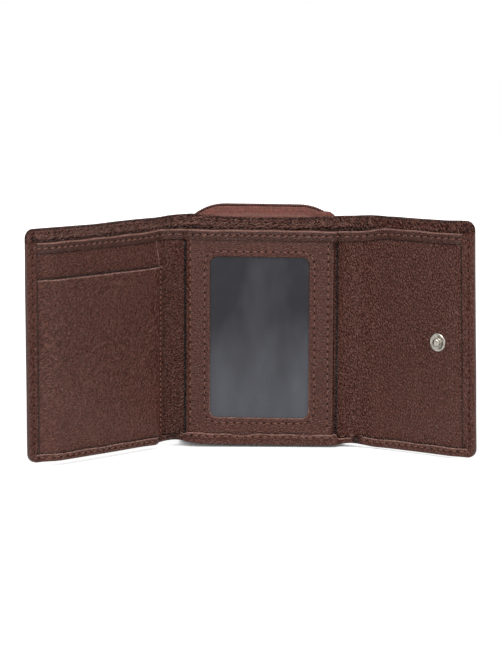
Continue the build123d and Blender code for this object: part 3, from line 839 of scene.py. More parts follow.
def nodes_of(kind: str, fold_kind: str) -> dict[Stretch, tuple[str, ...]]:
    """Return the CAD nodes of a skin by stretch.

    Args:
        kind: the end of their names on the flaps and the centre.
        fold_kind: the end of their names on the folds, empty where a fold has no such node.
    """
    nodes = {}
    for stretch in Stretch:
        side = stretch.name.lower().removesuffix("_flap")
        end = fold_kind if side.endswith("_fold") else kind
        nodes[stretch] = (f"{side}_{end}",) if end else ()
    return nodes


@dataclass
class Shell:
    """The outer leather with its turned edges and its top hem. Lengths in millimetres."""

    left: float
    right: float
    height: float = 100.0
    corner: float = 4.0
    sheet: float = 1.1
    turned: float = 0.8
    border: float = 5.0
    left_border: float = 3.2
    centre_border: float = 4.8
    right_border: float = 3.7
    fold_border: float = 2.7
    hem: float = 6.8
    hem_thick: float = 1.5
    flap_back: float = 3.0
    centre_back: float = 7.2
    flap_front: float = -0.8
    card_front: float = -2.9
    centre_front: float = -2.6
    layer_top: float = 94.5
    stitch_from_edge: float = 2.65
    step: float = 1.6           # between points
    corner_lines: tuple[float, ...] = (92.9, 93.3, 93.7, 94.1, 94.5, 94.9, 95.3, 95.7)
    crest_line: tuple[tuple[float, float], ...] = (
        (-117, 0.0), (-104, -0.05), (-92, -0.3), (-80, -0.55), (-68, -0.3), (-56, -0.2), (-45, -0.3), (-38, 0.15),
        (-31, 0.7), (-25, 0.2), (-16, -0.36), (-3, -0.6), (8, -0.45), (18, -0.22), (31, 0.45), (37, 0.8), (42, 1.1),
        (47, 0.95), (50, 0.55), (56, -0.35), (72, -0.42), (86, -0.3), (92, 0.0), (99, 0.1),
    )

    def back(self, along: np.ndarray) -> np.ndarray:
        """Return the depth of the outer face."""
        left = smooth(along, plan.creases[Stretch.LEFT_FLAP].at - 1.5, -plan.half + 2.5)
        right = 1 - smooth(along, plan.half - 2.5, plan.creases[Stretch.RIGHT_FLAP].at + 1.0)
        return self.flap_back + (self.centre_back - self.flap_back) * np.minimum(left, right)

    def front(self, along: np.ndarray) -> np.ndarray:
        """Return the depth of the turned border's face."""
        over_pocket = smooth(along, -35.6, -33.2) * (1 - smooth(along, 33.0, 34.6))
        over_cards = 1 - smooth(along, -49.5, -45.5)
        pleats = 0.2 * np.sin(along * 3.3) * bump(along, -40.2, 6.0)
        pleats = pleats + 0.25 * np.sin(along * 3.9) * bump(along, 43.2, 4.0)
        return (
            self.flap_front + (self.centre_front - self.flap_front) * over_pocket
            + (self.card_front - self.flap_front) * over_cards + pleats
        )

    def width(self, along: np.ndarray) -> np.ndarray:
        """Return the height of the turned bottom border."""
        centre = smooth(along, -35.0, -32.8) * (1 - smooth(along, 32.6, 34.2))
        left, right = 1 - smooth(along, -48.5, -45.0), smooth(along, 43.6, 45.0)
        wave = 0.22 * np.sin(along * 0.21 + 0.5) - 0.75 * bump(along, -9.0, 7.0) + 0.25 * np.sin(along * 0.47 + 2.0)
        hook = 0.7 * bump(along, 32.3, 1.6)
        return (
            self.fold_border + (self.centre_border - self.fold_border + wave * 0.7 + hook) * centre
            + (self.left_border - self.fold_border) * left + (self.right_border - self.fold_border) * right
            + 0.12 * np.sin(along * 0.33) * (left + right)
        )

    def crest(self, flat: np.ndarray) -> np.ndarray:
        """Return flat points with the shell's top edge sunk behind the centre and a little uneven."""
        along, height = flat[..., 0], flat[..., 2]
        sag = np.interp(along, *np.array(self.crest_line).T) + plan.slump * smooth(-along, plan.half, 60.0)
        moved = flat.copy()
        moved[..., 2] = height + sag * smooth(height, 78.0, self.height)
        return moved

    def _grid(self) -> tuple[np.ndarray, np.ndarray]:
        """Return the places along the wallet and the heights that get points, between the corners."""
        corner = self.corner
        sides = np.arange(corner, self.height - corner, self.step)
        rows = plan.lines(self.left + corner, self.right - corner, step=self.step)
        return rows, np.unique(np.append(sides, [self.height - corner, *self.corner_lines]))

    def _stations(self) -> dict[str, np.ndarray]:
        """Return the edge's stations, anticlockwise from the bottom left corner, as arrays.

        Returns:
            base points, inward directions, how far the other edge is, depths, widths and thicknesses.
        """
        corner = self.corner
        rows, sides = self._grid()
        turns = np.radians(np.linspace(0, 90, 9))[1:-1]
        runs: list[tuple] = []

        def straight(points: np.ndarray, inward: tuple[float, float], other: np.ndarray, path: np.ndarray) -> None:
            """Add a straight run."""
            runs.append((points, np.tile(inward, (len(points), 1)), other, path))

        def arc(centre: tuple[float, float], begin: float, path: np.ndarray) -> None:
            """Add a quarter turn."""
            angles = math.radians(begin) + turns
            out = np.stack([np.cos(angles), np.sin(angles)], axis=1)
            runs.append((np.array(centre) + corner * out, -out, np.full(len(angles), corner), path))

        top, left, right = self.height, self.left, self.right
        sweep = turns * corner
        zero = np.zeros_like
        straight(np.stack([rows, zero(rows)], 1), (0, 1), np.minimum(rows - left, right - rows), zero(rows))
        arc((right - corner, corner), -90, zero(sweep))
        straight(np.stack([zero(sides) + right, sides], 1), (-1, 0), np.minimum(sides, top - sides), sides)
        arc((right - corner, top - corner), 0, top - corner + sweep)
        straight(np.stack([rows[::-1], zero(rows) + top], 1), (0, -1),
                 np.minimum(rows - left, right - rows)[::-1], zero(rows) + 200)
        arc((left + corner, top - corner), 90, top - corner + sweep[::-1])
        straight(np.stack([zero(sides) + left, sides[::-1]], 1), (1, 0),
                 np.minimum(sides, top - sides)[::-1], sides[::-1])
        arc((left + corner, corner), 180, zero(sweep))
        base, inward, other, path = (np.concatenate(parts) for parts in zip(*runs))
        along = base[:, 0]
        back = self.back(along)
        top = self.layer_top - 0.65 * (along < -60)
        hem = smooth(path, top - 0.1, top + 1.1)
        bottom = (base[:, 1] < 0.01) | (path == 0)
        wide = mix(self.width(along), self.border + 0.9 * (along > 60), smooth(base[:, 1], 1.5, 7.0))
        in_fold = np.maximum(bump(along, -39.2, 6.4), bump(along, 42.0, 3.4)) * bottom
        return {
            "base": base, "inward": inward, "back": back,
            "front": self.front(along) * (1 - hem) + (back - self.hem_thick) * hem,
            "strip": self.turned * (1 - hem) + (self.hem_thick - self.sheet - 0.02) * hem,
            "width": np.minimum(wide * (1 - hem) + self.hem * hem, other),
            "side": ~bottom * (1 - hem),
            "hem": np.maximum(hem, in_fold),
            # Bottom rims lightened by wear and painted highlight, the hem a little as painted sheen; in the folds the
            # border gets painted shade instead.
            "rim_wear": np.where(bottom, 1 - in_fold, 0.0) + hem * 0.2,
            "grime": in_fold,
            "ripple": np.where((other <= corner + 0.01), 0.11 * np.sin(np.arange(len(along)) * 2.2), 0.0),
        }

    def _profile(self, station: dict[str, np.ndarray]) -> tuple[np.ndarray, ...]:
        """Return the edge's cross-sections: how far in, depth, and lightening by wear and painted highlight, as
        stations x points.
        """
        back, front, strip, width = (station[key][:, None] for key in ("back", "front", "strip", "width"))
        inner = back - self.sheet
        blunt, nose = 1.0, 0.62
        quarter = np.radians(np.linspace(0, 90, 6))
        lip = strip / 2
        share = np.array([0.0, 0.14, 0.27, 0.34, 0.4, 0.46, 0.6, 0.8, 1.0])
        groove = np.array([0, 0, 0.02, 0.1, 0.2, 0.08, 0, -0.03, 0])
        bend = np.radians(np.linspace(0, 180, 7))[1:]
        ease = np.clip((inner - front - strip) / 2, 0, 0.3)
        ones = np.ones_like(back)
        rim = station["rim_wear"][:, None]
        outer = np.array([self.corner, 3.3, 2.7, 2.3, 1.9, 1.5, 1.2])
        columns = [
            (ones * outer, back - [0, 0, 0, 0.1, 0, 0, 0], 0 * outer),
            (ones * (blunt - blunt * np.sin(quarter)), back - blunt + blunt * np.cos(quarter),
             np.array([0, 0.05, 0.12, 0.2, 0.2, 0.15])),
            (ones * (nose - nose * np.cos(quarter)), front + nose - nose * np.sin(quarter),
             np.array([0.15, 0.2, 0.22, 0.15, 0.05, 0])),
            (nose + (width - lip - nose) * share, front + groove + station["ripple"][:, None],
             np.array([0, 0, 0, 0, 0, 0, 0, 0.0, 0.4]) * rim),
            (width - lip + lip * np.sin(bend), front + lip - lip * np.cos(bend),
             np.array([0.9, 1, 0.9, 0.3, 0, 0]) * rim),
            (ones * (self.sheet + ease), front + strip, np.zeros(1)),
            (ones * self.sheet, front + strip + ease, np.zeros(1)),
            (ones * self.sheet, inner - ease, np.zeros(1)),
            (ones * (self.sheet + ease), inner, np.zeros(1)),
            (ones * self.corner, inner, np.zeros(1)),
        ]
        return tuple(joined(columns, member, len(back)) for member in range(3))

    def build(self) -> Form:
        """Return the shell's form: outer face, inner face and the edge all round."""
        form = Form("outer_shell")
        station = self._stations()
        inwards, depth, wear = self._profile(station)
        base, inward = station["base"], station["inward"]
        along = base[:, None, 0] + inward[:, None, 0] * inwards
        height = base[:, None, 1] + inward[:, None, 1] * inwards
        ring = np.stack([along, depth, height], axis=-1)
        # Painted shade on the border in the folds, and along the inner rim of the side borders.
        soil = np.repeat(0.62 * station["grime"][:, None], wear.shape[1], axis=1)
        soil[:, 28:34] = np.maximum(soil[:, 28:34], 0.75 * station["side"][:, None])
        # Painted shade in two lines on the hem: under its top edge and just above the binding.
        hem = np.zeros(wear.shape[1])
        hem[16:21], hem[25:28] = (0.2, 0.45, 0.6, 0.45, 0.1), (0.1, 0.5, 0.7)
        soil = np.maximum(soil, station["hem"][:, None] * hem)
        # Painted sheen on the hem's face, left of the right fold.
        rubbed = 0.36 * station["hem"] * (1 - smooth(base[:, 0], 36.0, 46.0))
        wear[:, 20:26] = np.maximum(wear[:, 20:26], rubbed[:, None])
        # Above the layers at the right fold, a painted shade crease beside a painted highlight, and a fainter painted
        # highlight at the left fold.
        top = smooth(height, self.layer_top, self.layer_top + 2.0)
        soil = np.maximum(soil, 0.6 * top * bump(along, 45.4, 1.3))
        wear = np.maximum(wear, top * np.maximum(0.6 * bump(along, 47.2, 1.1), 0.3 * bump(along, -35.0, 2.5)))
        ring, wear, soil, coarse = ringed(ring, wear, soil, station["hem"][:, None])
        form.net(self.crest(ring), wear, soil, 0.25 + 0.7 * coarse)
        rows, sides = self._grid()
        grid_along, grid_height = np.meshgrid(rows, sides, indexing="ij")
        back = np.broadcast_to(self.back(rows)[:, None], grid_along.shape)
        for depth in (back, back - self.sheet):
            form.net(self.crest(np.stack([grid_along, depth, grid_height], axis=-1)), 0.0, 0.0, 0.4)
        return form


@dataclass
class Layers:
    """The inner leather, the two linings and the binding along the layers' top. Lengths in millimetres."""

    shell: Shell
    bottom: float = 2.4
    top: float = 94.0
    inset: float = 3.3
    leather: float = 0.9
    lining: float = 0.25
    corner: float = 1.2
    shell_lining_top: float = 93.5
    binding: float = 4.5
    band: float = 0.6
    pocket_front: float = -1.8
    card_backing: float = -0.6
    gap: tuple[float, ...] = (-34.1, -33.7, -33.0, -32.6)   # painted shade in the gap beside the ID pocket: begins, dark, ends, light
    left_fold: tuple[float, float] = (-39.6, 5.6)           # middle and reach of the coarse leather in the folds
    right_fold: tuple[float, float] = (40.6, 8.4)

    @property
    def left(self) -> float:
        """Return where the layers begin."""
        return self.shell.left + self.inset

    @property
    def right(self) -> float:
        """Return where the layers end."""
        return self.shell.right - self.inset

    @property
    def shade_lines(self) -> np.ndarray:
        """Return the places along the wallet where the borders' shadows need rows."""
        steps = np.array([-0.3, 0.1, 0.5, 0.9])
        gap = np.array([self.gap[0], -33.9, *self.gap[1:3]])
        return np.concatenate([self.shell.left + 5.0 + steps, self.shell.right - 5.9 - steps, gap])

    @property
    def shade_levels(self) -> np.ndarray:
        """Return the heights where the shadows of the binding and the bottom border need rows."""
        low = self.top + self.band - self.binding
        return np.concatenate([low + np.array([-1.0, -0.6, -0.2, 0.2]), np.arange(2.8, 6.2, 0.4)])

    def seams(self, along: np.ndarray, height: np.ndarray) -> np.ndarray:
        """Return the painted shade close beside the borders and under the binding."""
        low = self.top + self.band - self.binding
        return 0.75 * np.maximum.reduce([
            bump(height, low - 0.2, 0.75), bump(along, self.shell.left + 5.2, 0.75),
            bump(along, self.shell.right - 6.1, 0.75),
            bump(height, self.shell.width(along) + 0.3, 0.7),
        ])

    def sheet(self, name: str, front: Callable, back: Callable, top: float, inset: float = 0.0) -> Form:
        """Return a sheet that reaches from one free edge to the other.

        Args:
            name: the form's name.
            front: depth of its inward face by place along the wallet.
            back: depth of its outward face.
            top: its upper edge.
            inset: how much smaller it is at its free edges.
        """
        form = Form(name)
        rows = np.union1d(plan.lines(self.left + inset, self.right - inset, Form.fine), self.shade_lines)
        sides = np.union1d(graded(self.bottom, top, 3.0, Form.fine), self.shade_levels)
        sides = sides[sides <= top]
        along, height = np.meshgrid(rows, sides, indexing="ij")
        radius = self.corner
        short = radius - np.sqrt(np.clip(radius**2 - np.clip(radius - (height - self.bottom), 0, radius) ** 2, 0, None))
        low, high = self.left + inset + short, self.right - inset - short
        along = np.clip(along, low, high)
        rim = np.minimum.reduce([along - low, high - along, height - self.bottom, top - height])
        begin, dark, end, light = self.gap
        left_fold, right_fold = (bump(along, *fold) ** 0.4 for fold in (self.left_fold, self.right_fold))
        folds = np.maximum(left_fold, right_fold)
        # Painted shade in the gaps on both sides of the ID pocket, over the left fold, and beside the borders and the
        # binding.
        gap_shade = np.maximum(0.9 * smooth(along, begin, dark) * (1 - smooth(along, end, light)), bump(along, 32.9, 1.1))
        left_shade = 0.24 * smooth(along, -45.0, -43.6) * (1 - smooth(along, -34.0, -33.0))
        soil = np.maximum.reduce([gap_shade, left_shade, self.seams(along, height)])
        coarse = (0.3 + 0.3 * smooth(height, 10.0, 70.0)) * (1 - folds) + 0.85 * folds
        # The right fold gets painted sheen; the folds have coarser grain.
        form.skin(along, height, front(along), back(along), rim, 0.22 * right_fold, soil, coarse)
        return form

    def under(self, along: np.ndarray) -> np.ndarray:
        """Return the depth of the frontmost layer that the binding covers."""
        pocket = smooth(along, -34.4, -32.6) * (1 - smooth(along, 32.0, 33.8))
        cards = 1 - smooth(along, -47.6, -45.2)
        return self.pocket_front * pocket + self.card_backing * cards

    def band_form(self) -> Form:
        """Return the binding: a narrow leather band folded over the layers' top."""
        form = Form("top_binding")
        rows = plan.lines(self.left, self.right, Form.fine, step=1.6)
        under = self.under(rows)[:, None] - 0.01
        top, low, band = self.top + self.band, self.top + self.band - self.binding, self.band
        quarter = np.radians(np.linspace(0, 90, 6))
        lip = 0.17
        bend = np.radians(np.linspace(0, 180, 6))
        behind = self.leather + self.lining + 0.02
        dip = np.array([0.0, 0.0, 0.06, 0.15, 0.06, 0.0, 0.0])
        drop = np.array([4.0, 3.2, 2.8, 2.4, 2.0, 1.4, 0.8])
        parts = [
            (under - lip + lip * np.cos(bend), low + lip - lip * np.sin(bend), [0, 0, 0.1, 0.2, 0.2, 0.1]),
            (under - 2 * lip + (2 * lip - band) * smooth(4.2 - drop, 0.2, 1.0) + dip, top - drop,
             [0.1, 0, 0, 0, 0, 0, 0.1]),
            (under - band + 0.7 - 0.7 * np.cos(quarter), top - 0.7 + 0.7 * np.sin(quarter),
             [0.3, 0.55, 0.8, 0.8, 0.6, 0.3]),
            (behind - 0.3 + 0.3 * np.sin(quarter) + 0 * under, top - 0.3 + 0.3 * np.cos(quarter),
             [0.3, 0.5, 0.5, 0.3, 0.1, 0]),
            (behind + 0 * under, [self.top], [0]),
            (under, [self.top], [0]),
            (under, [self.top - 2.0], [0]),
        ]
        rise = 0.1 * np.sin(rows * 0.37)[:, None] + 0.08 * np.sin(rows * 0.11 + 1)[:, None]
        depth, height, wear = (joined(parts, member, len(rows)) for member in range(3))
        height = height + rise
        along = np.broadcast_to(rows[:, None], depth.shape)
        # Painted shade along the binding's lower lip; its front face is painted darker too.
        soil = np.zeros_like(wear)
        soil[:, :3], soil[:, 5:13] = 0.6, 0.42
        form.net(np.stack([along, depth, height], axis=-1), wear * 0.75, soil, 0.1, closed=True)
        return form

    def build(self, finishes: Finishes) -> None:
        """Make the layers and put them on the wallet."""
        flat, lined = self.leather, self.leather + self.lining
        inner = self.sheet("inner_leather", lambda s: 0 * s, lambda s: flat + 0 * s, self.top)
        dress(inner, finishes.inner, nodes_of("inner_leather", "inner_leather"))
        cloth = self.sheet("inner_lining", lambda s: flat + 0.01 + 0 * s, lambda s: lined + 0 * s, self.top, 0.3)
        dress(cloth, finishes.lining, nodes_of("inner_lining", "lining"))
        shell = self.shell
        back = self.sheet(
            "shell_lining", lambda s: shell.back(s) - shell.sheet - self.lining - 0.02,
            lambda s: shell.back(s) - shell.sheet - 0.02, self.shell_lining_top, 0.3,
        )
        dress(back, finishes.lining, nodes_of("shell_lining", ""))
        dress(self.band_form(), finishes.inner, nodes_of("top_binding", "top_binding"))


# ---------------------------------------------------------------- pockets


@dataclass
class CardPocket:
    """The left flap's card pocket and the leather behind it. Lengths in millimetres."""

    layers: Layers
    mouth: float = 78.5
    front: float = -2.1
    leather: float = 0.7
    backing_front: float = -0.6
    right: float = -44.95

    def _edge(self, height: np.ndarray) -> np.ndarray:
        """Return where the pocket and its backing end beside the fold."""
        return self.right - 0.45 - 1.6 * smooth(height, 79.0, 92.0) - 0.5 * smooth(10.0 - height, 0.0, 9.0)

    def _sheet(self, name: str, top: float, front: Callable, back: Callable, wear: float, overhang: float) -> Form:
        """Return one sheet of the pocket, reaching a little past the other by the overhang."""
        form = Form(name)
        lines = self.layers.shade_lines
        levels = np.append(self.layers.shade_levels, self.mouth + np.array([-0.2, 0.3, 0.8, 1.4]))
        rows = np.union1d(plan.lines(self.layers.left, self.right, Form.fine, step=2.0), lines[lines < self.right])
        sides = np.union1d(graded(self.layers.bottom, top, 2.4, Form.fine), levels[levels < top - 0.05])
        along, height = np.meshgrid(rows, sides, indexing="ij")
        radius = self.layers.corner
        fall = np.clip(radius - (height - self.layers.bottom), 0, radius)
        low = self.layers.left + radius - np.sqrt(np.clip(radius**2 - fall**2, 0, None))
        high = self._edge(height)
        high = high + overhang
        share = (along - self.layers.left) / (self.right - self.layers.left)
        along = np.clip(np.where(share > 0.8, low + (high - low) * share, along), low, high)
        rim = np.minimum.reduce([along - low, high - along, height - self.layers.bottom, top - height])
        # The mouth gets a light rim of wear and painted highlight; the backing gets a painted highlight on its edge
        # beside the fold and painted shade just above the mouth.
        near_top = np.maximum(
            bump(height, top, 1.0) * wear, 0.9 * (1 - wear) * bump(high - along, 0.2, 0.9) * smooth(height, 77.0, 80.0),
        )
        soil = np.maximum(self.layers.seams(along, height), 0.7 * bump(height, self.mouth + 0.3, 1.0) * (1 - wear))
        coarse = 0.1 + 0.35 * smooth(height, 8.0, 60.0)
        form.skin(
            along, height, front(along, height), back(along, height), rim, wear=near_top, soil=soil, coarse=coarse,
        )
        return form

    def _face(self, along: np.ndarray, height: np.ndarray) -> np.ndarray:
        """Return the depth of the pocket's face: full in the middle, sewn down beside the fold."""
        full = smooth(self.right + 0.9 - along, 0.2, 3.6)
        share = np.clip((along - self.layers.left) / (self.right - self.layers.left), 0, 1)
        bulge = 0.55 * np.sin(np.pi * share) * smooth(height, 40.0, self.mouth)
        groove = 0.16 * bump(self.right - along, 1.2, 0.5)
        return mix(self.backing_front - 0.7, self.front, full) - bulge + groove

    def build(self, finishes: Finishes) -> None:
        """Make the backing and the pocket."""
        backing = self._sheet(
            "card_backing", self.layers.top, lambda s, z: self.backing_front + 0 * s, lambda s, z: -0.01 + 0 * s,
            0.0, 0.0,
        )
        dress(backing, finishes.inner, {Stretch.LEFT_FLAP: ("left_card_backing",)})
        pocket = self._sheet(
            "card_pocket", self.mouth, self._face, lambda s, z: self._face(s, z) + self.leather, 0.9, 1.3,
        )
        dress(pocket, finishes.inner, {Stretch.LEFT_FLAP: ("left_card_pocket",)})

    def seam(self, height: np.ndarray) -> np.ndarray:
        """Return flat points of the fine row of stitches beside the fold."""
        along = self._edge(height) - 0.5
        return np.stack([along, self._face(along, height), height], axis=1)


@dataclass
class IdPocket:
    """The centre's ID pocket: a leather frame round a window of clear film. Lengths in millimetres."""

    left: float
    right: float
    bottom: float
    top: float
    window: tuple[float, float, float, float]
    radius: float = 3.2
    front: float = -1.8
    leather: float = 0.8
    film_margin: float = 3.0
    film_front: float = -1.0
    film_thick: float = 0.2

    def outline(self, grow: float, count: int = 9) -> np.ndarray:
        """Return points round the window, grown outwards, anticlockwise from its right side."""
        low_x, high_x, low_z, high_z = self.window
        radius = self.radius
        corners = [(high_x - radius, high_z - radius, 0), (low_x + radius, high_z - radius, 90),
                   (low_x + radius, low_z + radius, 180), (high_x - radius, low_z + radius, 270)]
        points = []
        for x, z, begin in corners:
            angles = np.radians(begin + np.linspace(0, 90, count))
            points.append(np.stack([x + (radius + grow) * np.cos(angles), z + (radius + grow) * np.sin(angles)], 1))
        return np.concatenate(points)

    def _stations(self) -> tuple[np.ndarray, np.ndarray]:
        """Return matching points round the window and round the frame's outer edge."""
        inner = self.outline(0.0)
        per = len(inner) // 4
        corners = [(self.right, self.top), (self.left, self.top), (self.left, self.bottom), (self.right, self.bottom)]
        hole, outer = [], []
        for side in range(4):
            arc = inner[side * per:(side + 1) * per]
            corner = np.array(corners[side])
            following = inner[(side + 1) * per % len(inner)]
            facing = [np.array([corner[0], arc[0][1]]), np.array([arc[-1][0], corner[1]])]
            if side % 2:
                facing = [np.array([arc[0][0], corner[1]]), np.array([corner[0], arc[-1][1]])]
            half = per // 2
            for step, point in enumerate(arc):
                hole.append(point)
                share = step / half if step <= half else (step - half) / (per - 1 - half)
                outer.append(mix(facing[0], corner, share) if step <= half else mix(corner, facing[1], share))
            count = int(np.hypot(*(following - arc[-1])) / 2.2)
            for step in range(1, count):
                share = step / count
                hole.append(mix(arc[-1], following, share))
                next_corner = np.array(corners[(side + 1) % 4])
                end = np.array([next_corner[0], following[1]]) if side % 2 else np.array([following[0], next_corner[1]])
                outer.append(mix(facing[1], end, share))
        return np.array(hole), np.array(outer)

    def frame_form(self) -> Form:
        """Return the leather frame, rounded at the window and at its outer edge."""
        form = Form("id_frame")
        hole, outer = self._stations()
        open_side = smooth(outer[:, 0], self.right - 1.4, self.right - 0.2)[:, None]
        lip, edge = self.leather / 2, 0.45
        reach = np.linalg.norm(outer - hole, axis=1)[:, None]
        bend = np.radians(np.linspace(90, -90, 7))
        quarter = np.radians(np.linspace(0, 90, 5))
        under = self.front + self.leather
        base = (under + 0.01) * open_side + (-0.02) * (1 - open_side)
        field = np.array([0.5, 1.1, 1.6, 2.0, 2.4, 3.0, 4.2])
        swell = np.array([-0.02, -0.05, 0.0, 0.13, 0.02, -0.03, 0.0])
        inner_part = np.linspace(0, 1, 5)
        rim_field = np.array([2.4, 2.0, 1.7, 1.4, 0.9])
        dip = np.array([0.0, 0.03, 0.13, 0.03, 0.0]) * np.ones_like(reach)
        spread = [
            (lip - lip * np.cos(bend), self.front + lip + lip * np.sin(bend), [0.0, 0.3, 0.7, 1.0, 1.0, 0.85, 0.5]),
            (lip + field, self.front + swell, [0.25, 0, 0, 0, 0, 0, 0]),
            (mix(lip + 4.8, reach - 3.0, inner_part[None, :]), self.front, [0, 0, 0, 0, 0]),
            (reach - rim_field, self.front + dip, [0, 0, 0, 0, 0.1]),
            (reach - edge + edge * np.sin(quarter), self.front + edge - edge * np.cos(quarter),
             [0.2, 0.45, 0.7, 0.8, 0.6]),
            (reach, base, [0.1]),
            (reach - 0.7, base, [0]),
            (reach - 0.7, under, [0]),
        ]
        inwards, depth, wear = (joined(spread, member, len(hole)) for member in range(3))
        way = (outer - hole) / reach
        points = np.stack([
            hole[:, None, 0] + way[:, None, 0] * inwards, depth, hole[:, None, 1] + way[:, None, 1] * inwards,
        ], axis=-1)
        low_z, high_z = self.window[2:]
        # The light rim round the window fades towards the window's top.
        wear = wear * np.clip(1.05 - (points[..., 2] - low_z) / (high_z - low_z), 0.15, 1.0)
        face = depth < self.front + 0.4
        wear = np.maximum(wear, 0.5 * smooth(points[..., 0], self.right - 2.6, self.right - 0.6) * face)
        low = self.top + 0.6 - 4.5
        # Painted shade under the binding and just above the bottom border.
        soil = 0.8 * np.maximum(bump(points[..., 2], low - 0.2, 0.8), bump(points[..., 2], 5.2, 0.7)) * face
        points, wear, soil = ringed(points, wear, soil)
        # The frame is painted lighter towards its bottom and darker above.
        wear = np.maximum(wear * 0.6, 0.24 * smooth(-points[..., 2], -12.0, -3.0))
        soil = np.maximum(soil, 0.24 * smooth(points[..., 2], 3.0, 14.0))
        form.net(points, wear, soil, 0.1, closed=True)
        return form

    def film_form(self) -> Form:
        """Return the film, slightly full inside the window."""
        form = Form("id_film")
        low_x, high_x, low_z, high_z = self.window
        margin = self.film_margin
        rows = graded(low_x - margin, high_x + margin, 1.8, (0.05, 0.1))
        sides = graded(low_z - margin, high_z + margin, 2.0, (0.05, 0.1))
        along, height = np.meshgrid(rows, sides, indexing="ij")
        across = np.clip((along - low_x) / (high_x - low_x), 0, 1)
        upward = np.clip((height - low_z) / (high_z - low_z), 0, 1)
        full = 0.35 * np.sin(np.pi * across) ** 0.7 * np.sin(np.pi * upward) ** 0.7
        wave = 0.1 * np.sin(along * 0.33 + height * 0.12) * np.sin(np.pi * across) * np.sin(np.pi * upward)
        face = self.film_front - full + wave
        rim = np.minimum.reduce([along - rows[0], rows[-1] - along, height - sides[0], sides[-1] - height])
        form.skin(along, height, face, face + self.film_thick, rim)
        return form

    def build(self, finishes: Finishes) -> None:
        """Make the frame and the film."""
        dress(self.frame_form(), finishes.inner, {Stretch.CENTRE: ("id_pocket_frame",)}, soft=False)
        dress(self.film_form(), finishes.film, {Stretch.CENTRE: ("id_window_film",)}, soft=False)


# ---------------------------------------------------------------- stitching


def spaced(made: Tree, axis: str) -> tuple[bpy.types.NodeSocket, ...]:
    """Add the nodes that divide a path by the pitch.

    Args:
        made: a tree with the inputs Geometry and Pitch.
        axis: the beads' axis that turns the way of the path's attribute "up"; their X lies along the path.

    Returns:
        The curve, its points and their rotations.
    """
    source = made.start.outputs
    facing = made.add("GeometryNodeInputNamedAttribute", {"Name": "up"}, data_type="FLOAT_VECTOR").outputs[0]
    curve = made.add("GeometryNodeMeshToCurve", {"Mesh": source["Geometry"]}).outputs[0]
    even = made.add("GeometryNodeResampleCurve", {"Curve": curve, "Length": source["Pitch"]}, mode="LENGTH").outputs[0]
    turn = made.add("GeometryNodeInputTangent").outputs[0]
    turn = made.add("FunctionNodeAlignRotationToVector", {"Vector": turn}, axis="X", pivot_axis="AUTO").outputs[0]
    inputs = {"Rotation": turn, "Vector": facing}
    turn = made.add("FunctionNodeAlignRotationToVector", inputs, axis=axis, pivot_axis="X").outputs[0]
    return curve, even, turn


def finished(made: Tree, shapes: Sequence[tuple[object, object]]) -> bpy.types.NodeTree:
    """Make each shape real and smooth, give it its material, join them and return the tree."""
    joint = made.add("GeometryNodeJoinGeometry")
    for shape, material in shapes:
        real = made.add("GeometryNodeRealizeInstances", {"Geometry": shape}).outputs[0]
        even = made.add("GeometryNodeSetShadeSmooth", {"Geometry": real}).outputs[0]
        dressed = made.add("GeometryNodeSetMaterial", {"Geometry": even, "Material": material}).outputs[0]
        made.tree.links.new(dressed, joint.inputs[0])
    return made.finish(geometry=joint.outputs[0])


def grown(
    name: str, tree: bpy.types.NodeTree, placed: np.ndarray, facing: np.ndarray, values: dict,
) -> bpy.types.Object:
    """Return the plain mesh that a tree makes along a path.

    Args:
        name: the object's name.
        tree: the geometry nodes.
        placed: the path's points, in metres.
        facing: the way that each point faces.
        values: the tree's inputs by name.
    """
    mesh = bpy.data.meshes.new(name + "_path")
    mesh.from_pydata(placed.tolist(), [(i, i + 1) for i in range(len(placed) - 1)], [])
    up = mesh.attributes.new("up", "FLOAT_VECTOR", "POINT")
    up.data.foreach_set("vector", facing.astype(np.float32).ravel())
    path = link(bpy.data.objects.new(name + "_path", mesh))
    modifier = path.modifiers.new(tree.name, "NODES")
    modifier.node_group = tree
    for item in tree.interface.items_tree:
        if item.in_out == "INPUT" and item.name in values:
            modifier[item.identifier] = values[item.name]
    result = bpy.data.meshes.new_from_object(path.evaluated_get(bpy.context.evaluated_depsgraph_get()))
    path.modifiers.clear()
    bpy.data.objects.remove(path)
    result.name = name
    log.info("%s: %d faces", name, len(result.polygons))
    return link(bpy.data.objects.new(name, result))


@dataclass(frozen=True)
class Row:
    """A row of stitches: flat points along it, and the way its face looks.

    Attributes:
        name: the row's name.
        points: flat points.
        facing: -1 where it shows on the inner side, 1 on the outer side.
        pitch: length of one stitch.
        slant: how far each stitch is turned from the row, in radians.
        sunk: whether the thread gets the darker thread colour, painted shade for thread drawn into the leather.
        soft: whether the leather's unevenness is added.
    """

    name: str
    points: np.ndarray
    facing: int = -1
    pitch: float = 3.2
    slant: float = 0.0
    sunk: bool = False
    soft: bool = True


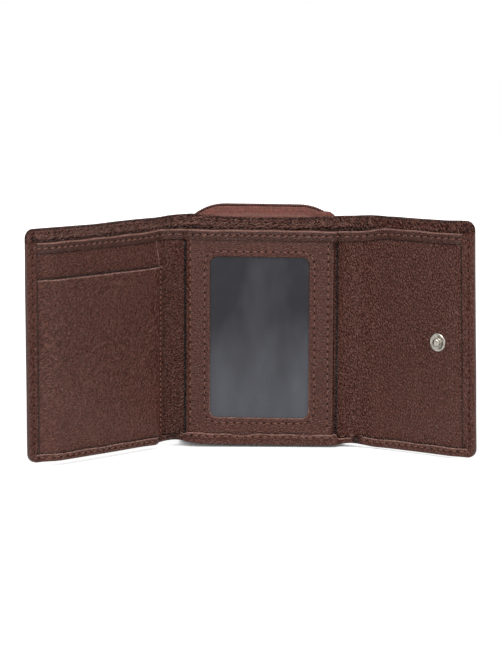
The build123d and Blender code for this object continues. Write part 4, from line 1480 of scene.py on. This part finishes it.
class Sewing:
    """Rows of lock stitches made by Geometry Nodes: threads between dark discs of painted shade for the needle holes.
    """

    length = 0.7        # share of the pitch that shows as thread
    girth = 0.27        # half width of the thread, in millimetres

    def __init__(self, finishes: Finishes) -> None:
        """Build the node tree."""
        self.finishes = finishes
        self.tree = self._tree()

    def _tree(self) -> bpy.types.NodeTree:
        """Return the tree: a path is divided by the pitch, and each division gets a thread and a dark disc of painted
        shade for its hole.
        """
        made = Tree.group(
            "lock_stitches", "GeometryNodeTree",
            {"Geometry": ("NodeSocketGeometry", None), "Pitch": ("NodeSocketFloat", 0.0024),
             "Length": ("NodeSocketFloat", 0.0016), "Girth": ("NodeSocketFloat", 0.00028),
             "Slant": ("NodeSocketFloat", 0.0),
             "Thread": ("NodeSocketMaterial", None), "Hole": ("NodeSocketMaterial", None)},
            {"Geometry": "NodeSocketGeometry"},
        )
        source = made.start.outputs
        _, even, upright = spaced(made, "Z")
        wobble = made.add("FunctionNodeRandomValue", {"Seed": 7}, data_type="FLOAT")
        wobble.inputs[2].default_value, wobble.inputs[3].default_value = -0.09, 0.09
        lean = made.add("ShaderNodeCombineXYZ", {"Z": made.math("ADD", wobble.outputs[1], source["Slant"])})
        angled = made.add("FunctionNodeRotateRotation", {"Rotation": upright}, rotation_space="LOCAL")
        lean_turn = made.add("FunctionNodeEulerToRotation", {"Euler": lean.outputs[0]})
        made.tree.links.new(lean_turn.outputs[0], angled.inputs["Rotate By"])
        ball = made.add("GeometryNodeMeshUVSphere", {"Segments": 8, "Rings": 6, "Radius": 1.0}).outputs[0]
        size = made.add("ShaderNodeCombineXYZ", {
            "X": made.math("MULTIPLY", source["Length"], 0.5), "Y": source["Girth"],
            "Z": made.math("MULTIPLY", source["Girth"], 0.75),
        })
        thread = made.add("GeometryNodeTransform", {"Geometry": ball, "Scale": size.outputs[0]}).outputs[0]
        disc = made.add("GeometryNodeMeshUVSphere", {"Segments": 8, "Rings": 4, "Radius": 1.0}).outputs[0]
        gap = made.add("ShaderNodeCombineXYZ", {"X": made.math("MULTIPLY", source["Pitch"], 0.5)})
        pit = made.add("ShaderNodeCombineXYZ", {
            "X": made.math("MULTIPLY", source["Girth"], 1.9), "Y": made.math("MULTIPLY", source["Girth"], 1.7),
            "Z": made.math("MULTIPLY", source["Girth"], 0.5),
        })
        hole = made.add("GeometryNodeTransform", {
            "Geometry": disc, "Translation": gap.outputs[0], "Scale": pit.outputs[0],
        }).outputs[0]
        set_out = [
            made.add("GeometryNodeInstanceOnPoints", {
                "Points": even, "Instance": shape, "Rotation": angled.outputs[0],
            }).outputs[0] for shape in (hole, thread)
        ]
        return finished(made, list(zip(set_out, (source["Hole"], source["Thread"]))))

    def sew(self, row: Row, name: str, placed: np.ndarray, points: np.ndarray) -> bpy.types.Object:
        """Return one plain mesh with the stitches along placed points."""
        return grown(name, self.tree, placed, plan.outward(points[:, 0]) * row.facing, {
            "Pitch": row.pitch * MM, "Length": row.pitch * self.length * MM, "Girth": self.girth * MM,
            "Slant": row.slant,
            "Thread": (self.finishes.shaded_thread if row.sunk else self.finishes.thread).material(),
            "Hole": self.finishes.hole.material(),
        })

    def run(self, row: Row, lift: float = 0.05) -> None:
        """Sew a row along the wallet, divided between the stretches that it crosses.

        Args:
            row: the row.
            lift: how far the thread's middle stands off the leather, in millimetres.
        """
        count = int(np.linalg.norm(np.diff(row.points, axis=0), axis=1).sum() / row.pitch)
        if count < 1:
            return
        dense = self.even(row.points, row.pitch)
        for stretch in Stretch:
            low, high = plan.limits(stretch)
            inside = (dense[:, 0] >= low) & (dense[:, 0] < high)
            changes = np.flatnonzero(np.diff(inside.astype(int))) + 1
            for index, run in enumerate(np.split(np.arange(len(dense)), changes)):
                if not inside[run[0]] or len(run) < 2:
                    continue
                points = dense[run] + np.array([0.0, lift * row.facing, 0.0])
                name = f"stitches_{row.name}_{stretch.name.lower()}" + (f"_{index}" if index > 1 else "")
                obj = self.sew(row, name, plan.place(points, row.soft), dense[run])
                plan.fasten(obj, stretch)

    @staticmethod
    def even(points: np.ndarray, pitch: float) -> np.ndarray:
        """Return points along a path at even distances of one pitch."""
        steps = np.concatenate([[0.0], np.cumsum(np.linalg.norm(np.diff(points, axis=0), axis=1))])
        count = max(1, round(steps[-1] / pitch))
        wanted = np.linspace(0, steps[-1], count + 1)
        return np.stack([np.interp(wanted, steps, points[:, axis]) for axis in range(3)], axis=1)


# ---------------------------------------------------------------- coin pocket and zip


@dataclass
class Arch:
    """The coin pocket's outline seen from behind: straight sides and a rounded top. Lengths in millimetres."""

    half: float
    bottom: float
    top: float
    corner: float

    def line(self, inset: float, start: float | None = None, count: int = 16, step: float = 2.4) -> np.ndarray:
        """Return points (x, z) of the outline, moved inwards, from the left foot over the top to the right foot.

        Args:
            inset: how far inside the outline.
            start: height of the two feet; the outline's bottom where it is left out.
            count: points in each corner.
            step: largest gap on the straight parts.
        """
        half, top, radius = self.half - inset, self.top - inset, self.corner - inset
        low = self.bottom if start is None else start
        turn = np.radians(np.linspace(180, 90, count + 1))
        rise = np.linspace(low, top - radius, int((self.top - self.corner - self.bottom) / step))
        left = np.stack([np.full(len(rise), -half), rise], axis=1)
        arc = np.stack([-half + radius + radius * np.cos(turn), top - radius + radius * np.sin(turn)], axis=1)
        flat = np.linspace(-half + radius, 0, int((self.half - self.corner) / step) + 1)
        middle = np.stack([flat, np.full(len(flat), top)], axis=1)
        near = np.concatenate([left, arc[1:], middle[1:]])
        return np.concatenate([near, near[-2::-1] * [-1, 1]])


def sweep(
    form: Form, arch: Arch, section: Sequence[tuple[float, float]], start: float, wear: Sequence[float] | None = None,
          ruffle: Callable | None = None) -> None:
    """Add a band that follows the arch.

    Args:
        form: what it is added to.
        arch: the outline.
        section: closed cross-section as pairs of inset and depth.
        start: height of its two feet.
        wear: rubbing of each point of the section.
        ruffle: extra depth by distance along the arch and number of the section's point.
    """
    lines = [arch.line(inset, start) for inset, _ in section]
    points = np.stack([
        np.stack([line[:, 0], np.full(len(line), depth), line[:, 1]], axis=1)
        for line, (_, depth) in zip(lines, section)
    ], axis=1)
    if ruffle is not None:
        steps = np.concatenate([[0.0], np.cumsum(np.linalg.norm(np.diff(lines[0], axis=0), axis=1))])
        points = points + ruffle(steps, points)
    form.net(points, 0.0 if wear is None else np.asarray(wear, float)[None, :], closed=True)


@dataclass
class CoinPocket:
    """The zip pocket on the centre's back: leather panel, gusset, tapes and linings. Lengths in millimetres."""

    arch: Arch
    near: float
    far: float
    leather: float = 1.1
    lining: float = 0.25
    panel_inset: float = 0.7
    tape: float = 0.45

    def panel_form(self) -> Form:
        """Return the back panel's leather, a little full in the middle, with a rounded and sewn rim."""
        form = Form("coin_panel")
        insets = (0.0, 0.05, 0.18, 0.4, 0.7, 1.1, 1.6, 2.0, 2.2, 2.4, 2.8, 3.5, 5.0, 7.5, 11.0, 15.0, 20.0)
        groove = {2.0: 0.08, 2.2: 0.16, 2.4: 0.08}
        lines = [self.arch.line(inset + self.panel_inset, self.arch.bottom + inset * 0.9) for inset in insets]
        middle = lines[-1].copy()
        middle[:, 0] *= 0.35
        middle[:, 1] = self.arch.bottom + (middle[:, 1] - self.arch.bottom) * 0.6 + 14
        shares = np.array([*insets, 34.0])
        lines.append(middle)
        blunt = self.leather / 2
        thick = rounded_rim(shares / blunt)
        centre = self.far - blunt
        bulge = 0.75 * np.asarray(smooth(shares, 2.5, 26.0))
        out = centre + blunt * thick - np.array([groove.get(v, 0.0) for v in shares]) + bulge
        back = centre - blunt * thick
        wear = np.clip(1 - shares / 0.8, 0, 1)
        shape = np.stack(lines, axis=0)

        def net(depths: np.ndarray, marks: np.ndarray) -> None:
            """Add one side."""
            points = np.stack([
                shape[:, :, 0], np.broadcast_to(depths[:, None], shape.shape[:2]), shape[:, :, 1],
            ], axis=-1)
            foot = np.concatenate([points, points[:, :1]], axis=1)
            form.net(foot, np.broadcast_to(marks[:, None], foot.shape[:2]))

        net(out, wear)
        net(back, wear)
        return form

    def tape_form(self, name: str, inner: tuple[float, float], outer: tuple[float, float], full: float) -> Form:
        """Return a zip tape that curves from the pocket's wall to the coil.

        Args:
            name: the form's name.
            inner: inset and depth where it is sewn.
            outer: inset and depth beside the coil.
            full: how far it swells outwards on the way, in millimetres.
        """
        form = Form(name)
        share = np.linspace(0, 1, 17)
        pale = 0.5 * bump(share, 0.43, 0.08) + 0.45 * smooth(share, 0.8, 0.95)
        inset = mix(inner[0], outer[0], smooth(share, 0.0, 0.9)) - full * np.sin(np.pi * share)
        depth = mix(inner[1], outer[1], share)
        section = list(zip(inset, depth)) + list(zip(inset[::-1] + self.tape, depth[::-1]))

        def ruffle(steps: np.ndarray, points: np.ndarray) -> np.ndarray:
            """Return the shallow wrinkles of cloth that is drawn round a curve."""
            moved = np.zeros_like(points)
            both = np.concatenate([share, share[::-1]])[None, :]
            weight, puff = np.sin(np.pi * both), 2.9 * smooth(both, 0.1, 0.6)
            wave = 0.13 * np.sin(steps * 1.9 + 0.4) + 0.1 * np.sin(steps * 0.83 + 1.0)
            lift = puff * bump(points[..., 0], 31.4, 7.0) * smooth(points[..., 2], 80.0, 94.0)
            moved[..., 2] = wave[:, None] * weight + lift
            moved[..., 1] = 0.1 * np.sin(steps * 1.3)[:, None] * weight
            return moved

        sweep(form, self.arch, section, 1.9, [*pale, *pale[::-1]], ruffle)
        return form

    def lining_form(self, name: str, depth: float, inset: float) -> Form:
        """Return a thin lining sheet inside the arch."""
        form = Form(name)
        outline = self.arch.line(inset, 2.2)
        centre = np.array([0.0, 45.0])
        shape = np.stack([centre + (outline - centre) * share for share in (1.0, 0.98, 0.6, 0.2)], axis=0)
        for level in (depth, depth + self.lining):
            level_at = np.full(shape.shape[:2], level)
            level_at[0] = depth + self.lining / 2
            points = np.stack([shape[..., 0], level_at, shape[..., 1]], axis=-1)
            form.net(np.concatenate([points, points[:, :1]], axis=1))
        return form

    def gusset_form(self) -> Form:
        """Return the leather strip under the pocket, which folds as the panel opens."""
        form = Form("coin_gusset")
        along = graded(-37.4, 37.4, 2.5, Form.fine)
        share = np.linspace(0, 1, 9)
        depth = self.near + 0.05 + (19.8 - self.near - 0.1) * share
        sag = 1.5 * np.sin(np.pi * share)
        grid_along, grid_depth = np.meshgrid(along, depth, indexing="ij")
        top = np.broadcast_to(1.8 - sag, grid_along.shape)
        low = top - 0.8
        rim = np.minimum(grid_along - along[0], along[-1] - grid_along)
        thin = rounded_rim(rim / 0.4)
        middle = (top + low) / 2
        sheets = [np.stack([grid_along, grid_depth, middle + (side - middle) * thin], axis=-1) for side in (top, low)]
        form.net(np.concatenate([sheets[0], sheets[1][:, ::-1]], axis=1), 0.2, 0.0, closed=True)
        return form

    def build(self, finishes: Finishes) -> None:
        """Make the pocket's soft pieces."""
        rows = (
            (self.panel_form(), finishes.outer, "coin_panel", "coin_panel_leather", "shell_leather"),
            (self.gusset_form(), finishes.outer, "coin_panel", "coin_bottom_gusset", "shell_leather"),
            (self.tape_form("zip_front_tape", (8.0, self.near + 0.12), (0.8, 12.5), 0.3),
             finishes.tape, "centre", "coin_front_tape", "zip_tape"),
            (self.tape_form("zip_rear_tape", (1.6, 20.08), (0.8, 15.6), 0.0),
             finishes.tape, "coin_panel", "coin_rear_tape", "zip_tape"),
            (self.lining_form("coin_front_lining", self.near + 0.02, 8.4), finishes.lining, "centre",
             "coin_front_lining", "lining_cloth"),
            (self.lining_form("coin_back_lining", 19.83, 1.6), finishes.lining, "coin_panel",
             "coin_panel_lining", "lining_cloth"),
        )
        for form, finish, body, node, slot in rows:
            piece = form.piece(form.name, finish)
            if node == "coin_bottom_gusset":
                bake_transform(piece)
            else:
                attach(piece, body)
            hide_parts(node)


class Coil(Enum):
    """The zip's two halves: the CAD node, its body, and the share of a pitch by which its teeth are shifted."""

    FRONT = ("zip_front_coil", "centre", 0.0)
    REAR = ("zip_rear_coil", "coin_panel", 0.5)


@dataclass
class ZipTeeth:
    """The nylon coil on both sides of the zip's middle line, made by Geometry Nodes. Lengths in millimetres."""

    arch: Arch
    inset: float = 0.3
    start: float = 13.4
    pitch: float = 1.1
    girth: float = 0.22
    wide: float = 1.3
    cord: float = 0.45
    inward: float = 0.5         # how much further in the coil lies on the straight sides

    def _tree(self) -> bpy.types.NodeTree:
        """Return the tree: a loop of nylon on each division of the path, and a cord inside the loops."""
        made = Tree.group(
            "zip_coil", "GeometryNodeTree",
            {"Geometry": ("NodeSocketGeometry", None), "Pitch": ("NodeSocketFloat", 0.00115),
             "Girth": ("NodeSocketFloat", 0.0004), "Width": ("NodeSocketFloat", 0.001),
             "Coil": ("NodeSocketMaterial", None), "Cord": ("NodeSocketMaterial", None)},
            {"Geometry": "NodeSocketGeometry"},
        )
        source = made.start.outputs
        curve, even, upright = spaced(made, "Y")
        ball = made.add("GeometryNodeMeshUVSphere", {"Segments": 8, "Rings": 6, "Radius": 1.0}).outputs[0]
        size = made.add("ShaderNodeCombineXYZ", {
            "X": source["Girth"], "Y": made.math("MULTIPLY", source["Width"], 0.5),
            "Z": made.math("MULTIPLY", source["Girth"], 2.9),
        })
        tooth = made.add("GeometryNodeTransform", {"Geometry": ball, "Scale": size.outputs[0]}).outputs[0]
        teeth = made.add("GeometryNodeInstanceOnPoints", {
            "Points": even, "Instance": tooth, "Rotation": upright,
        }).outputs[0]
        round_cord = made.add("GeometryNodeCurvePrimitiveCircle", {"Resolution": 6}, mode="RADIUS")
        round_cord.inputs["Radius"].default_value = self.cord * MM
        cord = made.add("GeometryNodeCurveToMesh", {
            "Curve": curve, "Profile Curve": round_cord.outputs[0], "Fill Caps": True,
        }).outputs[0]
        return finished(made, ((cord, source["Cord"]), (teeth, source["Coil"])))

    def build(self, finishes: Finishes) -> None:
        """Make both halves of the coil."""
        tree = self._tree()
        for coil in Coil:
            node, body, shift = coil.value
            low, high = (np.array(corner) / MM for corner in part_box(node))
            depth = (low[1] + high[1]) / 2
            line = self.arch.line(self.inset, self.start)
            shifted = line[0] + np.array([0.0, shift * self.pitch])
            points = np.array([[x, depth, z] for x, z in (shifted, *line[1:])])
            points[:, 0] -= self.inward * np.sign(points[:, 0]) * (1 - smooth(points[:, 2], 78.0, 92.0))
            teeth = grown(node + "_teeth", tree, plan.stance(points) * MM, np.tile([0.0, 1.0, 0.0], (len(points), 1)), {
                "Pitch": self.pitch * MM, "Girth": self.girth * MM, "Width": self.wide * MM,
                "Coil": finishes.coil.material(), "Cord": finishes.tape.material(),
            })
            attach(teeth, body)
            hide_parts(node)


# ---------------------------------------------------------------- metal


def softened(node: str, bevel: float, finish: Finish, body: str, slot: str) -> bpy.types.Object:
    """Return a copy of a CAD node with rounded edges, which stands for it.

    Args:
        node: the CAD node.
        bevel: width of the rounding, in millimetres.
        finish: the material.
        body: the body that it rides on.
        slot: the record's material slot; not used.
    """
    mesh = frame["nodes"][node].data.copy()
    solid = bmesh.new()
    solid.from_mesh(mesh)
    bmesh.ops.remove_doubles(solid, verts=solid.verts, dist=1e-7)
    bmesh.ops.dissolve_limit(solid, angle_limit=math.radians(1.0), verts=solid.verts, edges=solid.edges)
    for face in solid.faces:
        face.smooth = True
    for vertex in solid.verts:
        vertex.co = Vector(plan.stance(np.array([vertex.co[:]]) / MM)[0] * MM)
    solid.to_mesh(mesh)
    solid.free()
    piece = link(bpy.data.objects.new(node + "_rounded", mesh))
    rounding = piece.modifiers.new("rounding", "BEVEL")
    rounding.width, rounding.segments, rounding.limit_method = bevel * MM, 3, "ANGLE"
    rounding.angle_limit, rounding.harden_normals = math.radians(28), True
    Finishes.give(piece, finish, slot)
    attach(piece, body)
    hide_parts(node)
    log.info("%s: rounded by %.2f mm", node, bevel)
    return piece


@dataclass
class Snap:
    """The press stud and its socket, spun from profiles. Lengths in millimetres."""

    sides: int = 40

    def _turned(
        self, node: str, stretch: Stretch, profile: Sequence[tuple[float, float]], face_in: bool, finish: Finish,
    ) -> None:
        """Make one turned part in a CAD node's place.

        Args:
            node: the CAD node, which also names the piece.
            stretch: where it is, which gives its axis.
            profile: radius and height above the leather, from the middle of the face outwards and back down.
            face_in: whether it faces the inner side.
            finish: the material.
        """
        name = node + "_turned"
        low, high = plan.flat_box(node, stretch)
        middle = (low + high) / 2
        root = high[1] if face_in else low[1]
        sign = -1.0 if face_in else 1.0
        angles = np.linspace(0, 2 * np.pi, self.sides, endpoint=False)
        radius, rise = np.array(profile).T
        flat = np.stack([
            middle[0] + radius[:, None] * np.cos(angles),
            np.broadcast_to((root + sign * rise)[:, None], (len(rise), self.sides)),
            middle[2] + radius[:, None] * np.sin(angles),
        ], axis=-1)
        form = Form(name)
        form.net(flat, closed=True)
        points = np.concatenate(form.points)
        mesh = bpy.data.meshes.new(name)
        mesh.from_pydata(points.tolist(), [], np.concatenate(form.faces).tolist())
        Form.close(mesh)
        for vertex in mesh.vertices:
            vertex.co = Vector(plan.place(np.array([vertex.co[:]]), soft=False)[0])
        mesh.update()
        piece = link(bpy.data.objects.new(name, mesh))
        Finishes.give(piece, finish, "snap_metal")
        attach(piece, stretch.value[1])
        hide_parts(node)
        log.info("%s: %d faces", name, len(mesh.polygons))

    def build(self, finishes: Finishes) -> None:
        """Make stud and socket; their posts keep the CAD shape."""
        stud = [(0.0, 2.2), (0.8, 2.16), (1.35, 2.0), (1.7, 1.68), (1.82, 1.3), (1.7, 0.9), (1.55, 0.55), (1.75, 0.3),
                (2.2, 0.3), (2.8, 0.5), (3.3, 0.68), (3.7, 0.62), (3.95, 0.35), (4.0, 0.05), (3.9, 0.0), (0.0, 0.0)]
        socket = [(0.0, 0.55), (1.2, 0.55), (1.5, 0.7), (1.75, 1.05), (2.2, 1.3), (3.0, 1.45), (3.9, 1.38), (4.6, 1.05),
                  (4.95, 0.6), (5.0, 0.15), (4.9, 0.0), (0.0, 0.0)]
        self._turned("snap_stud", Stretch.RIGHT_FLAP, stud, True, finishes.nickel)
        self._turned("snap_socket", Stretch.LEFT_FLAP, socket, False, finishes.nickel)


# ---------------------------------------------------------------- rows of stitches


@dataclass
class Stitching:
    """Every sewn row of the wallet."""

    shell: Shell
    layers: Layers
    cards: CardPocket
    id_pocket: IdPocket
    coin: CoinPocket

    def _along(self, start: float, stop: float) -> np.ndarray:
        """Return close places between two ends."""
        return np.linspace(start, stop, max(2, int(abs(stop - start) / 0.8)))

    def _row(self, along: np.ndarray, depth: object, height: object) -> np.ndarray:
        """Return flat points from places, depths and heights."""
        return np.stack(np.broadcast_arrays(along, depth, height), axis=1).astype(float)

    def rows(self) -> list[Row]:
        """Return all rows that bend with the leather."""
        shell, layers = self.shell, self.layers
        inset = shell.stitch_from_edge
        full = self._along(shell.left + 3.0, shell.right - 3.0)
        binding = layers.under(full) - layers.band + 0.12
        hem = shell.back(full) - shell.hem_thick
        rows = [
            Row("binding", self._row(full, binding, layers.top + layers.band - 2.4), slant=0.28),
            Row("hem", shell.crest(self._row(full, hem + 0.1, shell.height - 1.9)), pitch=3.6, sunk=True),
            Row("hem_outside", shell.crest(self._row(full, shell.back(full), shell.height - 1.9)), facing=1),
            Row("border_outside", self._row(full, shell.back(full), inset), facing=1),
        ]
        spans = (("left", shell.left + 3.2, -45.4), ("centre", -34.6, 40.2), ("right", 45.2, shell.right - 3.2))
        for name, start, stop in spans:
            part = self._along(start, stop)
            seam = self._row(part, shell.front(part) + 0.12, shell.width(part.mean()) - 1.25)
            rows.append(Row(f"border_{name}", seam))
        for name, edge, sign in (("left", shell.left, 1), ("right", shell.right, -1)):
            height = self._along(3.4, shell.layer_top - 0.6)
            side = np.full(len(height), edge + sign * inset)
            rows.append(Row(f"{name}_edge", self._row(side, shell.front(side) + 0.12, height), sunk=True))
            rows.append(Row(f"{name}_edge_outside", self._row(side, shell.back(side), height), facing=1))
        rows.append(Row("card_pocket", self.cards.seam(self._along(6.0, 78.6)), pitch=2.2))
        return rows

    def rigid_rows(self) -> list[Row]:
        """Return the rows of the ID pocket."""
        pocket = self.id_pocket
        height = self._along(7.2, 89.6)
        low_x, high_x, low_z, high_z = pocket.window
        ring = pocket.outline(2.4, 6)
        ring = np.concatenate([ring, ring[:1]])
        left = np.full(len(height), pocket.left + 1.9)
        right = np.full(len(height), pocket.right - 3.1)
        return [
            Row("id_left", self._row(left, pocket.front + 0.12, height), soft=False),
            Row("id_right", self._row(right, pocket.front + 0.05, height), soft=False),
            Row("id_window", self._row(ring[:, 0], pocket.front + 0.12, ring[:, 1]), soft=False),
        ]

    def build(self, finishes: Finishes) -> None:
        """Sew every row."""
        sewing = Sewing(finishes)
        for row in (*self.rows(), *self.rigid_rows()):
            sewing.run(row)
        arch = self.coin.arch.line(2.2, self.coin.arch.bottom + 2.4)
        path = sewing.even(self._row(arch[:, 0], self.coin.far - 0.1, arch[:, 1]), 2.4)
        row = Row("coin_panel", path, facing=1, soft=False)
        mesh_points = plan.stance(path) * MM
        obj = sewing.sew(row, "stitches_coin_panel", mesh_points, path * [0, 1, 1])
        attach(obj, "coin_panel")


# ---------------------------------------------------------------- studio


@dataclass(frozen=True)
class View:
    """Where the camera stands. Lengths in metres and angles in degrees."""

    aim: tuple[float, float, float] = (-0.00503, 0.0, 0.04833)
    distance: float = 1.3
    azimuth: float = 1.1
    elevation: float = 8.63
    lens: float = 160.2


class Studio:
    """Plain floor, world and lamps, and the camera."""

    def __init__(self, view: View) -> None:
        """Keep the view."""
        self.view = view

    def _world(self) -> None:
        """White behind the object, and a plain soft light from all round."""
        world = bpy.data.worlds.new("studio")
        bpy.context.scene.world = world
        made = Tree.fresh(world)
        path = made.add("ShaderNodeLightPath").outputs
        mirrored = made.math("MAXIMUM", path["Is Glossy Ray"], path["Is Transmission Ray"])
        seen = made.math("MAXIMUM", path["Is Camera Ray"], mirrored)
        level = made.add("ShaderNodeMapRange", {"Value": seen, "To Min": 0.5, "To Max": 1.0}).outputs[0]
        light = made.add("ShaderNodeBackground", {"Color": colour(1.0, 1.0, 1.0), "Strength": level})
        made.add("ShaderNodeOutputWorld", {"Surface": light.outputs[0]})

    def _floor(self) -> None:
        """A pale floor that looks white and keeps the object's shadow; for camera and glossy rays it glows, more far
        off and less close to the wallet, where it paints a dark contact shadow.
        """
        mesh = bpy.data.meshes.new("floor")
        solid = bmesh.new()
        bmesh.ops.create_grid(solid, x_segments=2, y_segments=2, size=1.6)
        solid.to_mesh(mesh)
        solid.free()
        for vertex in mesh.vertices:
            vertex.co.z = FLOOR_LEVEL
        floor = link(bpy.data.objects.new("floor", mesh))
        paper = bpy.data.materials.new("paper")
        made = Tree.fresh(paper)
        glow = made.add("ShaderNodeEmission", {"Color": colour(1.0, 1.0, 1.0)})
        path = made.add("ShaderNodeLightPath").outputs
        seen = made.math("MAXIMUM", path["Is Camera Ray"], path["Is Glossy Ray"])
        tone = made.blend(seen, colour(0.8, 0.8, 0.8), colour(0.25, 0.25, 0.25))
        matt = made.add("ShaderNodeBsdfDiffuse", {"Color": tone})
        # Ambient occlusion dims the glow within 12 mm of the wallet: a painted contact shadow.
        near = made.add("ShaderNodeAmbientOcclusion", {"Distance": 0.012}, samples=8).outputs["AO"]
        place = made.add("ShaderNodeNewGeometry").outputs["Position"]
        away = made.add("ShaderNodeVectorMath", {0: place}, operation="LENGTH").outputs["Value"]
        close_by = made.math("MULTIPLY", made.span(near, 0.0, 0.28), 0.92)
        level = made.math("ADD", close_by, made.span(away, 0.16, 0.7, 0.0, 0.5))
        made.tree.links.new(made.math("MULTIPLY", seen, level), glow.inputs["Strength"])
        both = made.add("ShaderNodeAddShader", {0: matt.outputs[0], 1: glow.outputs[0]})
        made.add("ShaderNodeOutputMaterial", {"Surface": both.outputs[0]})
        mesh.materials.append(paper)

    def _lamp(self, name: str, place: tuple, aim: tuple, size: float, power: float) -> None:
        """Add a square soft lamp."""
        data = bpy.data.lights.new(name, "AREA")
        data.size, data.energy = size, power
        lamp = link(bpy.data.objects.new(name, data))
        lamp.location = place
        lamp.rotation_euler = (Vector(aim) - Vector(place)).to_track_quat("-Z", "Y").to_euler()

    def _camera(self) -> None:
        """Set up the camera."""
        view = self.view
        azimuth, elevation = math.radians(view.azimuth), math.radians(view.elevation)
        flat = math.cos(elevation)
        out = Vector((math.sin(azimuth) * flat, -math.cos(azimuth) * flat, math.sin(elevation)))
        data = bpy.data.cameras.new("camera")
        data.lens, data.clip_start, data.clip_end = view.lens, 0.01, 20.0
        camera = link(bpy.data.objects.new("camera", data))
        camera.location = Vector(view.aim) + out * view.distance
        camera.rotation_mode = "QUATERNION"
        camera.rotation_quaternion = (-out).to_track_quat("-Z", "Y")
        bpy.context.scene.camera = camera

    def build(self) -> None:
        """Make the studio."""
        self._world()
        self._floor()
        self._lamp("key", (-0.3, -0.9, 1.15), (0.0, 0.0, 0.05), 0.9, 17.0)
        self._lamp("fill", (0.9, -0.8, 0.6), (0.0, 0.0, 0.05), 0.8, 4.0)
        bpy.context.scene.view_settings.view_transform = "Standard"
        self._camera()


# ---------------------------------------------------------------- the whole


def main() -> None:
    """Build the wallet's looks, piece by piece, and the studio."""
    logging.basicConfig(level=logging.INFO, format="%(name)s: %(message)s")
    window = (-22.4, 20.6, 12.0, 82.8)
    finishes = Finishes((window[2] * MM, window[3] * MM))
    shell = Shell(left=-117.35, right=99.45)
    dress(shell.build(), finishes.outer, nodes_of("shell", "shell"))
    layers = Layers(shell)
    layers.build(finishes)
    cards = CardPocket(layers)
    cards.build(finishes)
    pocket = IdPocket(left=-33.0, right=32.0, bottom=1.1, top=94.0, window=window)
    pocket.build(finishes)
    coin = CoinPocket(Arch(half=38.2, bottom=1.0, top=104.3, corner=22.0), near=7.2, far=21.2)
    coin.build(finishes)
    ZipTeeth(coin.arch).build(finishes)
    for node, bevel, body in (
        ("zip_slider", 0.35, "slider"), ("zip_slider_bail", 0.2, "slider"), ("zip_pull_ring", 0.15, "puller"),
        ("zip_pull_tab", 0.3, "puller"), ("zip_front_stops", 0.2, "centre"), ("zip_rear_stops", 0.2, "coin_panel"),
    ):
        softened(node, bevel, finishes.zinc, body, "zip_metal")
    Snap().build(finishes)
    for node in ("snap_stud_post", "snap_socket_post"):
        Finishes.give(frame["nodes"][node], finishes.nickel)
    Stitching(shell, layers, cards, pocket, coin).build(finishes)
    Studio(View()).build()
    bpy.context.view_layer.update()


if __name__ == "__main__":
    main()
